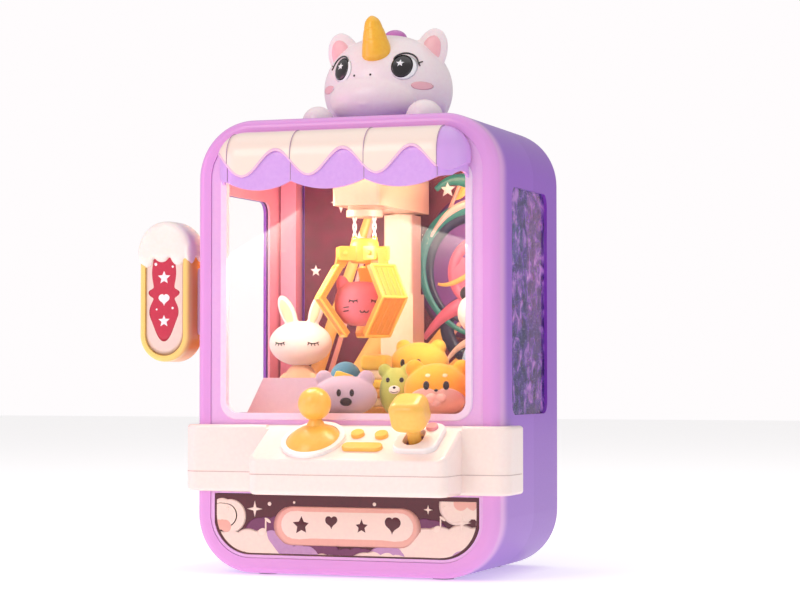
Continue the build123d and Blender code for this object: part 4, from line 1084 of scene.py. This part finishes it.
def in_finger_plane(radial, sideways, height, degrees):
    """Points given by distance out along a finger, sideways across it, and height."""
    angle = math.radians(degrees)
    x = CLAW_X + radial * math.cos(angle) - sideways * math.sin(angle)
    y = CLAW_Y + radial * math.sin(angle) + sideways * math.cos(angle)
    return np.stack(np.broadcast_arrays(x, y, height), -1)


def box_shape(radial, sideways, height, degrees):
    """A closed block with small rounded edges, from ranges out, across and up."""
    low = np.array([radial[0], sideways[0], height[0]])
    high = np.array([radial[1], sideways[1], height[1]])
    block, rows_wrap, columns_wrap = ellipsoid((low + high) / 2, (high - low) / 2, 20, 32, square=0.2)
    return in_finger_plane(block[..., 0], block[..., 1], block[..., 2], degrees), rows_wrap, columns_wrap


for degrees in FINGER_DIRECTIONS.values():
    for low, high in ((5.2, 8), (-8, -5.2)):
        hub_shapes.append(box_shape((7, 21), (low, high), (237.5, 248.5), degrees))
    pin = in_finger_plane(np.full(3, 16.0), np.array([-9.0, 0.0, 9.0]), np.full(3, 243.0), degrees)
    hub_shapes.append(tube(pin, 2.0, 20, across=(0, 0, 1)))
hub = piece("claw_hub_with_lugs", hub_shapes, finishes["claw_yellow"], "claw")
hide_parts("claw_hub")

# %% Ribs and border of the fingers
OUTER_PROFILE = np.array([(22, 233.6), (36, 209), (15.9, 180.2)])
RIBS = (-7.5, -2.5, 2.5, 7.5)
BORDER = 11.6


def along_finger(degrees, sideways, radius, start=0.04, end=0.96):
    """A tube that follows the plate's outer profile at one place across it."""
    at = np.linspace(start, end, 41) * 2
    radial = np.interp(at, [0, 1, 2], OUTER_PROFILE[:, 0])
    height = np.interp(at, [0, 1, 2], OUTER_PROFILE[:, 1])
    path = in_finger_plane(radial, np.full_like(at, sideways), height, degrees)
    across = in_finger_plane(0, 1, 0, degrees) - in_finger_plane(0, 0, 0, degrees)
    return tube(path, radius, 10, across=across)


for label, degrees in FINGER_DIRECTIONS.items():
    ribs = [along_finger(degrees, sideways, 0.75) for sideways in RIBS]
    piece(label + "_ribs", ribs, finishes["claw_orange"], label)
    border = [along_finger(degrees, side * BORDER, 1.1, 0, 1) for side in (-1, 1)]
    for corner in OUTER_PROFILE:
        reach = np.linspace(-BORDER, BORDER, 9)
        bar = in_finger_plane(np.full_like(reach, corner[0]), reach, np.full_like(reach, corner[1]), degrees)
        border.append(tube(bar, 1.1, 10, across=(0, 0, 1)))
    piece(label + "_border", border, finishes["claw_yellow"], label)

# %% [markdown]
# ## Console seam
#
# The console is an upper and a lower moulding, and the joint between them shows as a thin warm
# line all round. It is one thread along the console's plan: wing, side of the block, rounded
# corner, front, and back to the other wing.

# %% Console seam
console_low, console_high = extent("console_top")
SEAM_Z = console_low[2]
WING_FRONT, WING_BACK, WING_CORNER = -87.5, -52, 12
BLOCK_LEFT, BLOCK_RIGHT, BLOCK_CORNER = -60, 94, 8


def corner(x, y, radius, start):
    """A quarter of a circle about x, y, from a start angle in degrees."""
    turn = np.radians(np.linspace(start, start + 90, 10))
    return np.stack([x + radius * np.cos(turn), y + radius * np.sin(turn)], -1)


plan = np.concatenate(
    [
        [(console_low[0], WING_BACK)],
        corner(console_low[0] + WING_CORNER, WING_FRONT + WING_CORNER, WING_CORNER, 180),
        [(BLOCK_LEFT, WING_FRONT)],
        corner(BLOCK_LEFT + BLOCK_CORNER, console_low[1] + BLOCK_CORNER, BLOCK_CORNER, 180),
        corner(BLOCK_RIGHT - BLOCK_CORNER, console_low[1] + BLOCK_CORNER, BLOCK_CORNER, 270),
        [(BLOCK_RIGHT, WING_FRONT)],
        corner(console_high[0] - WING_CORNER, WING_FRONT + WING_CORNER, WING_CORNER, 270),
        [(console_high[0], WING_BACK)],
    ]
)
steps = np.linspace(0, 1, 8, endpoint=False)[:, None]
dense = np.concatenate([a + (b - a) * steps for a, b in zip(plan, plan[1:])] + [plan[-1:]])
seam_path = np.column_stack([dense, np.full(len(dense), SEAM_Z)])
piece(
    "console_seam", [tube(seam_path, 0.28, 8, across=(0, 0, 1))], finishes["seam_cream"], "cabinet",
)

# %% [markdown]
# ## Awning rim and seams
#
# The awning is blown in four puffed panels, with a dark seam between neighbours, and the icing
# ends in a soft pink bead along its drips. Both are lines on the awning, so both are tubes: the
# bead follows the drip wave, and each seam follows the awning's section over its round top.

# %% Awning rim and seams
awning_low, awning_high = extent("awning")
icing_low, icing_high = extent("awning_icing")
DRIP_Z, DRIP_RISE, DRIP_PITCH, DRIP_SHIFT = 308.5, 9.5, 53.5, 8.3
SEAM_X = (-85, -33.4, 24.8, 81.4)
CUSP_Z = 294.5
TOP_ROUND = 20


def drip_line(x):
    """The icing's lower edge: a cosine wave across the awning."""
    return DRIP_Z + DRIP_RISE * np.cos(FULL_TURN * (x - DRIP_SHIFT) / DRIP_PITCH)


def end_round(x):
    """How far the front falls back near the awning's ends: radius minus the root of its square
    less the square of the distance into the rounded part."""
    into = np.clip(np.abs(x) - (awning_high[0] - TOP_ROUND), 0, TOP_ROUND - 0.01)
    return TOP_ROUND - np.sqrt(TOP_ROUND**2 - into**2)


bead_x = np.linspace(awning_low[0] + 4, SEAM_X[-1], 180)
bead = np.stack([bead_x, end_round(bead_x) + icing_low[1] + 1.0, drip_line(bead_x)], -1)
piece("awning_icing_bead", [tube(bead, 1.15, 12)], finishes["icing_bead"], "cabinet")
seams = []
for seam_x in SEAM_X:
    rise = np.linspace(CUSP_Z + 0.6, icing_high[2] - TOP_ROUND, 24)
    bend = np.linspace(0, np.pi / 2, 16)[1:]
    proud = np.where(rise > drip_line(seam_x), icing_low[1], awning_low[1]) + end_round(seam_x)
    upright_part = np.stack([0 * rise + seam_x, proud, rise], -1)
    middle_y, middle_z = icing_low[1] + TOP_ROUND, icing_high[2] - TOP_ROUND
    reach = TOP_ROUND - end_round(seam_x)
    top_part = np.stack(
        [0 * bend + seam_x, middle_y - reach * np.cos(bend), middle_z + reach * np.sin(bend)], -1
    )
    seams.append(tube(np.concatenate([upright_part, top_part]), 0.3, 8, across=(1, 0, 0)))
piece("awning_seams", seams, finishes["seam_grey"], "cabinet")

# %% [markdown]
# ## Icing on the sign
#
# The sign is an upright capsule with whipped icing run over its top. Its real moulding is a puffy
# cap with four soft drips, so it is a wide dome melted together with a row of rounded drops.

# %% Sign icing
sign_low, sign_high = extent("sign_body")
SIGN_X = (sign_low[0] + sign_high[0]) / 2
SIGN_HALF = (sign_high[0] - sign_low[0]) / 2
SIGN_Y = (sign_low[1] + sign_high[1]) / 2
SIGN_DEPTH = (sign_high[1] - sign_low[1]) / 2
cap_z = sign_high[2] - SIGN_HALF


def drum(centre, radius, half_depth, square=0.3):
    """A short drum lying along Y with a rounded rim: radius times cos, and half depth times sin,
    of the latitude, each raised to a small power, so that the side and the faces are nearly flat.
    Its underside is cut level a little below the middle."""
    latitude = np.linspace(-np.pi / 2, np.pi / 2, 48)[:, None]
    angle = np.linspace(0, FULL_TURN, 72, endpoint=False)[None, :]
    out = radius * np.abs(np.cos(latitude)) ** square
    deep = half_depth * np.sign(np.sin(latitude)) * np.abs(np.sin(latitude)) ** square
    points = [out * np.cos(angle), deep + 0 * angle, np.maximum(out * np.sin(angle), -5)]
    return grid(np.stack(points, -1) + centre, columns_wrap=True)


cap_shapes = [drum((SIGN_X, SIGN_Y, cap_z), SIGN_HALF + 2.0, SIGN_DEPTH + 2.0)]
drip_x = SIGN_X + np.array([-15.5, -2.5, 11.5])
for x, drop in zip(drip_x, (6.5, 2.5, 5.0)):
    for y in (sign_low[1] + 1.5, sign_high[1] - 1.5):
        cap_shapes.append(ellipsoid((x, y, cap_z - 1.5), (7.2, 3.4, 5.5 + drop)))
for x in (sign_low[0] + 1, sign_high[0] - 1):
    for y, drop in ((SIGN_Y - 8, 4), (SIGN_Y + 7, 2)):
        cap_shapes.append(ellipsoid((x, y, cap_z - 1), (3.0, 7.5, 6 + drop)))
cap = melted("sign_whipped_icing", cap_shapes, finishes["icing_white"], "cabinet", "icing_white", passes=6)
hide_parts("sign_icing")

# %% [markdown]
# ## Printed panels
#
# The sign, the prize flap and the back card are printed. A print has crisp flat shapes, so each
# is a paper-thin lens on its panel, layer over layer. The designs are general ones: clouds,
# stars, notes, a ringed planet and ribbons of sky.

# %% Print helpers
INK = 0.12


def flat_face(y):
    return lambda x, z: 0 * x + y


def held_in(shape, keep):
    """The same grid with its x and z moved inside a panel by keep(x, z)."""
    points, rows_wrap, columns_wrap = shape
    x, z = keep(points[..., 0], points[..., 2])
    return np.stack([x, points[..., 1], z], -1), rows_wrap, columns_wrap


def printed(name, marks, y, layer, finish, body, keep=None, rings=10, steps=96):
    """Flat marks (x, z, outline) on a panel at y, each layer standing a little over the last."""
    shapes = [
        lens(x, z, outline, flat_face(y), INK * (layer + 1), 0.05, rings, steps)
        for x, z, outline in marks
    ]
    if keep:
        shapes = [held_in(shape, keep) for shape in shapes]
    return piece(name, shapes, finish, body)


def ribbon(points, widths, y, layer, count=90):
    """A flat band along a smooth line: the line is a fitted cubic or quartic through its points,
    and the band reaches half a width to either side along the line's normal."""
    points = np.asarray(points, float)
    at, fine = np.linspace(0, 1, len(points)), np.linspace(0, 1, count)
    degree = min(5, len(points) - 1)
    x = np.polyval(np.polyfit(at, points[:, 0], degree), fine)
    z = np.polyval(np.polyfit(at, points[:, 1], degree), fine)
    half = np.interp(fine, np.linspace(0, 1, len(widths)), widths) / 2
    slope = np.stack([np.gradient(x), np.gradient(z)], -1)
    slope /= np.linalg.norm(slope, axis=1, keepdims=True)
    front = y - INK * (layer + 1)
    sides = []
    for reach, depth in ((-1, y + 0.05), (-1, front), (0, front - 0.02), (1, front), (1, y + 0.05)):
        sides.append(
            np.stack([x - slope[:, 1] * half * reach, 0 * x + depth, z + slope[:, 0] * half * reach], -1)
        )
    return grid(np.stack(sides, 0), rows_wrap=True)


def music_note(x, z, size):
    """A slanted note head, its stem and a flag."""
    head = (x, z, outline_slanted(size * 0.36, size * 0.26, 20))
    stem = (x + size * 0.29, z + size * 0.5, outline_ellipse(size * 0.07, size * 0.55))
    flag = (x + size * 0.46, z + size * 0.86, outline_slanted(size * 0.3, size * 0.12, -35))
    return [head, stem, flag]


# %% [markdown]
# ## Sign face
#
# The sign's face is printed in three passes: a cream capsule, a crimson flame, and white icons.
# Each pass is a thin flat solid standing a hair above the last, as thick ink would, so the passes
# never share a surface and each keeps its own material.

# %% Sign face
face_y = sign_low[1] + 1.5
sign_mid = (sign_low[2] + sign_high[2]) / 2


def capsule_outline(half_x, half_z):
    """Radius by angle of an upright capsule: the ray meets a side, or an end circle."""
    straight = half_z - half_x

    def radius(angle):
        cosine, sine = np.abs(np.cos(angle)), np.abs(np.sin(angle))
        side = half_x / np.maximum(cosine, 1e-6)
        end = straight * sine + np.sqrt(np.maximum(half_x**2 - (straight * cosine) ** 2, 0))
        return np.where(side * sine <= straight, side, end)

    return radius


printed(
    "sign_cream_face",
    [(SIGN_X, sign_mid, capsule_outline(SIGN_HALF - 4.7, sign_high[2] - sign_mid - 4.7))], face_y, 0,
    finishes["print_cream"], "cabinet"
)


def crimson_wave(angle):
    """A tall flame: an ellipse whose sides bulge and pinch by a wave of its own height."""
    height = np.sin(angle)
    return outline_ellipse(11.5, 37)(angle) * (1 + 0.16 * np.sin(7 * height + 0.6))


printed(
    "sign_crimson_panel", [(SIGN_X - 0.5, sign_mid - 2, crimson_wave)], face_y, 1,
    finishes["print_crimson"], "cabinet", steps=160
)
sign_marks = []
for high, outline in (
    (11.5, outline_star(6.4, 3.1)), (-2.5, outline_heart(10)), (-22, outline_star(5.6, 2.6))
):
    sign_marks.append((SIGN_X - 0.5, sign_mid + high, outline))
for across, high, dot in ((-7.6, 22, 1.3), (6.8, 20, 1.0), (6.8, -12, 1.1), (-6.8, -13, 0.9)):
    sign_marks.append((SIGN_X + across, sign_mid + high, outline_ellipse(dot, dot)))
printed(
    "sign_white_icons", sign_marks, face_y, 2, finishes["print_white"], "cabinet",
    steps=120
)
print("sign face at y", round(face_y, 2))

# %% [markdown]
# ## Prize flap art
#
# The flap carries a night sky with clouds behind a cream plaque. A cloud is the outer edge of five
# overlapping circles. Every mark is clamped to the flap's own rounded outline, so a cloud at the
# edge is cut there, as a print is cut with its card.

# %% Prize flap art
flap_low = extent("prize_door")[0]
FLAP_FRONT = flap_low[1]
FLAP_BOTTOM, FLAP_TOP, FLAP_SIDE = flap_low[2], 58.3, 104.0
FLAP_ROUND = 29.0
FLAP_MARGIN = 0.8


def inside_flap(x, z):
    """Clamp to the flap: its sides, its top, its bottom, and its two rounded lower corners."""
    x = np.clip(x, -FLAP_SIDE + FLAP_MARGIN, FLAP_SIDE - FLAP_MARGIN)
    z = np.clip(z, FLAP_BOTTOM + FLAP_MARGIN, FLAP_TOP)
    corner_x, corner_z = FLAP_SIDE - FLAP_ROUND, FLAP_BOTTOM + FLAP_ROUND
    dx, dz = np.abs(x) - corner_x, corner_z - z
    away = np.hypot(dx, dz)
    reach = FLAP_ROUND - 0.9
    pull = np.where((dx > 0) & (dz > 0) & (away > reach), reach / np.maximum(away, 1e-6), 1)
    new_x = np.where(pull < 1, np.sign(x) * (corner_x + dx * pull), x)
    return new_x, np.where(pull < 1, corner_z - dz * pull, z)


CLOUD = ((0, 0, 12), (-13, -3, 15), (13, -2, 15), (5, 4, 10), (-6, 3, 10))


def flap_art(name, marks, layer, finish):
    printed(
        name, marks, FLAP_FRONT, layer, finishes[finish], "prize_door", inside_flap, 14,
        140
    )


def cloud(x, z, scale=1.0, flip=1):
    return x, z, outline_bubbles([(bx * scale * flip, bz * scale, r * scale) for bx, bz, r in CLOUD])


flap_art(
    "flap_plum_clouds",
    [cloud(-58, 34, 0.8), cloud(-26, 15, 0.9), cloud(58, 34, 0.9, -1), cloud(6, 12, 0.8)], 0,
    "print_plum"
)
flap_art(
    "flap_mauve_clouds", [cloud(-62, 24, 0.8), cloud(-40, 13, 0.8), cloud(40, 14, 0.8, -1)], 1,
    "print_mauve"
)
cream_clouds = [
    cloud(-103, 46, 0.85), cloud(-84, 17, 1.3), cloud(-22, 6, 0.85), cloud(30, 7, 1.05),
    cloud(84, 20, 1.55), cloud(101, 57, 0.95, -1)
]
flap_art("flap_cream_clouds", cream_clouds, 2, "print_cream")
flap_art(
    "flap_peach_shading", [cloud(96, 58, 0.45), cloud(-100, 38, 0.35), cloud(60, 9, 0.6)], 3,
    "print_peach"
)
flap_art("flap_mauve_shading", [cloud(98, 16, 0.75), cloud(-66, 8, 0.55)], 3, "print_mauve")


def plaque_outline(half_x, half_z):
    """A level capsule: the upright one turned a quarter."""
    return lambda angle: capsule_outline(half_z, half_x)(angle + np.pi / 2)


flap_art("flap_plaque_edge", [(2, 38.0, plaque_outline(58.5, 14.6))], 4, "print_peach")
flap_art("flap_plaque", [(2, 38.4, plaque_outline(55.5, 12.2))], 5, "print_cream")
icons = [(-34, 38.4, outline_star(8.6, 4.4)), (-10, 44, outline_heart(14))]
icons += [(14, 38.4, outline_star(8.6, 4.4)), (38, 44, outline_heart(14))]
flap_art("flap_plaque_icons", icons, 6, "flap_maroon")
sparks = []
for x, z, tip, waist in ((-72, 50, 6.4, 1.7), (92, 43, 7.2, 1.9), (66, 52, 3.6, 1.1), (-94, 50, 3, 0.9)):
    sparks.append((x, z, outline_star(tip, waist, 4)))
for x, z, dot in ((-60, 54, 1.5), (24, 55.2, 1.4), (78, 54, 1.2), (-40, 55.4, 1.0)):
    sparks.append((x, z, outline_ellipse(dot, dot)))
sparks += music_note(-66, 33, 10) + music_note(73, 38, 9)
flap_art("flap_sparks", sparks, 4, "print_cream")

# %% [markdown]
# ## Back card art
#
# The picture behind the prizes is beams of light, a bloom and curling ribbons. A ribbon is a
# smooth line with a width that changes along it. Spirals come from a radius that grows with the
# angle, so a few numbers give a long, even curl.

# %% Back card art
card_low, card_high = extent("back_card")
CARD_FRONT = card_low[1]
CARD_MARGIN = 0.3


def inside_card(x, z):
    """Clamp to the card's own rectangle, less a thin margin."""
    x = np.clip(x, card_low[0] + CARD_MARGIN, card_high[0] - CARD_MARGIN)
    return x, np.clip(z, card_low[2] + CARD_MARGIN, card_high[2] - CARD_MARGIN)


def card_bands(name, bands, layer, finish):
    """Ribbons (points, widths) on the card, kept within it."""
    shapes = [held_in(ribbon(points, widths, CARD_FRONT, layer), inside_card) for points, widths in bands]
    return piece(name, shapes, finishes[finish], "rear_door")


def card_marks(name, marks, layer, finish):
    return printed(
        name, marks, CARD_FRONT, layer, finishes[finish], "rear_door", inside_card, 12,
        120
    )


card_ground, card_shader = new_material("printed_paperboard", Roughness=0.55)
paper = add_node(
    card_ground, "ShaderNodeTexNoise",
    {"Vector": place_in_mm(card_ground, 34), "Detail": 5, "Distortion": 0.6}
)
link(
    card_ground, blend(card_ground, paper.outputs["Fac"], linear("#3A0A1E"), linear("#7E2146")),
    card_shader.inputs["Base Color"]
)
for holder in nodes["back_card"].material_slots:
    holder.material = card_ground

beams = []
for foot, lean, wide in ((-96, 26, 14), (-66, 44, 20), (-30, 62, 13), (-2, 78, 18)):
    beams.append(
        (
            [(foot, 118), (foot + lean, 190), (foot + 2 * lean, 262), (foot + 2.8 * lean, 318)],
            [wide, wide * 0.8, wide * 0.55, wide * 0.4]
        )
    )
card_bands("card_gold_beams", beams, 0, "print_gold")
thin_beams = []
for foot, lean in ((-96, 26), (-66, 44), (-30, 62)):
    thin_beams.append(
        ([(foot + 12, 118), (foot + 14 + lean, 200), (foot + 16 + 2.2 * lean, 318)], [5, 4, 3])
    )
card_bands("card_peach_beams", thin_beams, 1, "print_peach")
card_marks(
    "card_violet_bloom",
    [(62, 250, outline_bubbles([(-8, 6, 40), (20, -18, 42), (-14, -30, 40), (12, 26, 36)]))], 2,
    "print_violet"
)
SWIRL = np.radians(np.linspace(-60, 250, 9))


def swirl(x, z, start, growth, shift=0.0):
    """A spiral: radius grows evenly with the angle."""
    radius = start + growth * (SWIRL - SWIRL[0])
    return np.stack([x + radius * np.cos(SWIRL + shift), z + radius * np.sin(SWIRL + shift)], -1)


card_bands(
    "card_navy_ribbons",
    [(swirl(60, 246, 12, 8), [6, 16, 12, 3]), (swirl(52, 196, 8, 7, 2.2), [4, 12, 10, 3])], 3,
    "print_navy"
)
card_bands(
    "card_teal_ribbons",
    [
        (swirl(60, 246, 22, 8, 0.5), [4, 12, 8, 2]),
        ([(20, 300), (48, 306), (76, 286), (93, 252)], [4, 12, 12, 4])
    ],
    4, "print_teal"
)
card_bands(
    "card_pink_ribbons",
    [
        (swirl(62, 240, 6, 7, 1.2), [3, 9, 8, 2]),
        ([(10, 180), (36, 204), (64, 208), (93, 190)], [4, 12, 12, 6])
    ],
    5, "print_pink"
)
card_bands(
    "card_cream_ribbons",
    [
        ([(16, 262), (36, 284), (62, 288), (90, 270)], [2, 6, 6, 2]),
        ([(28, 160), (50, 178), (74, 176), (93, 160)], [2, 7, 7, 3])
    ],
    6, "print_cream"
)
card_marks("card_planet", [(44, 232, outline_ellipse(13, 13))], 7, "print_pink")
card_bands(
    "card_planet_ring", [([(22, 224), (36, 225), (52, 234), (66, 246)], [2, 4, 4, 2])], 8, "print_gold"
)
card_stars = [
    (-62, 292, outline_star(9, 3.4, 4)), (-46, 262, outline_star(6, 2.2, 4)),
    (30, 300, outline_star(7, 3.2)), (80, 226, outline_star(6, 2.8)),
    (70, 296, outline_star(5, 1.6, 4)), (-84, 236, outline_star(5, 2.2))
]
card_marks("card_stars", card_stars, 7, "print_white")

# %% [markdown]
# ## Floor
#
# The toy stands on a white sheet that gives off a little light of its own, so that it stays white
# to its far edge. The floor is one square: nothing on it is ever seen but the toy's soft shadow.

# %% Floor
floor_mesh = bpy.data.meshes.new("floor")
FLOOR_HALF = 6.0
corners = [(x * FLOOR_HALF, y * FLOOR_HALF, 0) for x, y in ((-1, -1), (1, -1), (1, 1), (-1, 1))]
floor_mesh.from_pydata(corners, [], [(0, 1, 2, 3)])
floor = bpy.data.objects.new("floor", floor_mesh)
bpy.context.collection.objects.link(floor)
floor_white = new_material(
    "matt_white_paper",
    Base_Color=linear("#FBFAFA"),
    Roughness=0.8,
    Emission_Color=linear("#FFFFFF"),
    Emission_Strength=0.4,
)[0]
floor_mesh.materials.append(floor_white)

# %% [markdown]
# ## Lights
#
# The air is white where the camera sees it and dimmer where it lights the toy, so the background
# stays clean without washing out the plastics. Area lights are used because a soft source gives
# the broad, gentle highlights of moulded plastic: a key from the front left, one overhead, a pink
# fill from the left, a faint lilac one from the right, and three small warm lamps in the cabinet.

# %% Lights
world = bpy.data.worlds.new("studio")
bpy.context.scene.world = world
world.use_nodes = True
studio_air = world.node_tree.nodes["Background"]
studio_air.inputs["Color"].default_value = linear("#FFFCFD")
SEEN_WHITE, SOFT_AMBIENT = 1.0, 0.52
ray = add_node(world, "ShaderNodeLightPath")
strength = add_node(
    world,
    "ShaderNodeMapRange",
    {"Value": ray.outputs["Is Camera Ray"], "To Min": SOFT_AMBIENT, "To Max": SEEN_WHITE},
)
link(world, strength.outputs["Result"], studio_air.inputs["Strength"])


def area_light(name, place, target, size, watts, colour):
    """A square soft light at place, aimed at target, both in metres."""
    data = bpy.data.lights.new(name, "AREA")
    data.size, data.energy, data.color = size, watts, linear(colour)[:3]
    light = bpy.data.objects.new(name, data)
    light.location = place
    light.rotation_euler = (Vector(target) - Vector(place)).to_track_quat("-Z", "Y").to_euler()
    bpy.context.collection.objects.link(light)
    return light


MIDDLE = (0, 0, 0.2)
area_light("key", (-0.7, -1.6, 1.2), MIDDLE, 0.8, 7, "#FFF6EE")
area_light("overhead", (0.1, 0.1, 2.2), MIDDLE, 2.6, 14, "#FFFFFF")
area_light("pink_fill", (-1.5, -0.9, 0.5), MIDDLE, 0.8, 5, "#FF9FD8")
area_light("right_fill", (1.5, -0.4, 0.7), MIDDLE, 0.8, 1.2, "#E8D8FF")
area_light("cabinet_lamp", (0, -0.03, 0.325), (0, -0.02, 0.1), 0.12, 0.36, "#FFCF94")
area_light("cabinet_front_left", (-0.07, -0.068, 0.262), (0, 0.01, 0.14), 0.06, 0.16, "#FFF3E0")
area_light("cabinet_front_right", (0.07, -0.068, 0.262), (0.03, 0.01, 0.13), 0.06, 0.12, "#FFF3E0")

# %% [markdown]
# ## Camera
#
# A long lens from a low place to the right keeps the cabinet's edges almost parallel. Colours are
# shown with the Standard view, so that pastel plastics stay as bright as they are moulded.

# %% Camera
camera_data = bpy.data.cameras.new("camera")
camera_data.lens, camera_data.sensor_width = 103.0, 36.0
camera = bpy.data.objects.new("camera", camera_data)
camera.location = (0.6147, -1.6697, 0.1501)
camera.rotation_euler = Vector((-0.3378, 0.9406, 0.0331)).to_track_quat("-Z", "Y").to_euler()
bpy.context.collection.objects.link(camera)
bpy.context.scene.camera = camera
bpy.context.scene.view_settings.view_transform = "Standard"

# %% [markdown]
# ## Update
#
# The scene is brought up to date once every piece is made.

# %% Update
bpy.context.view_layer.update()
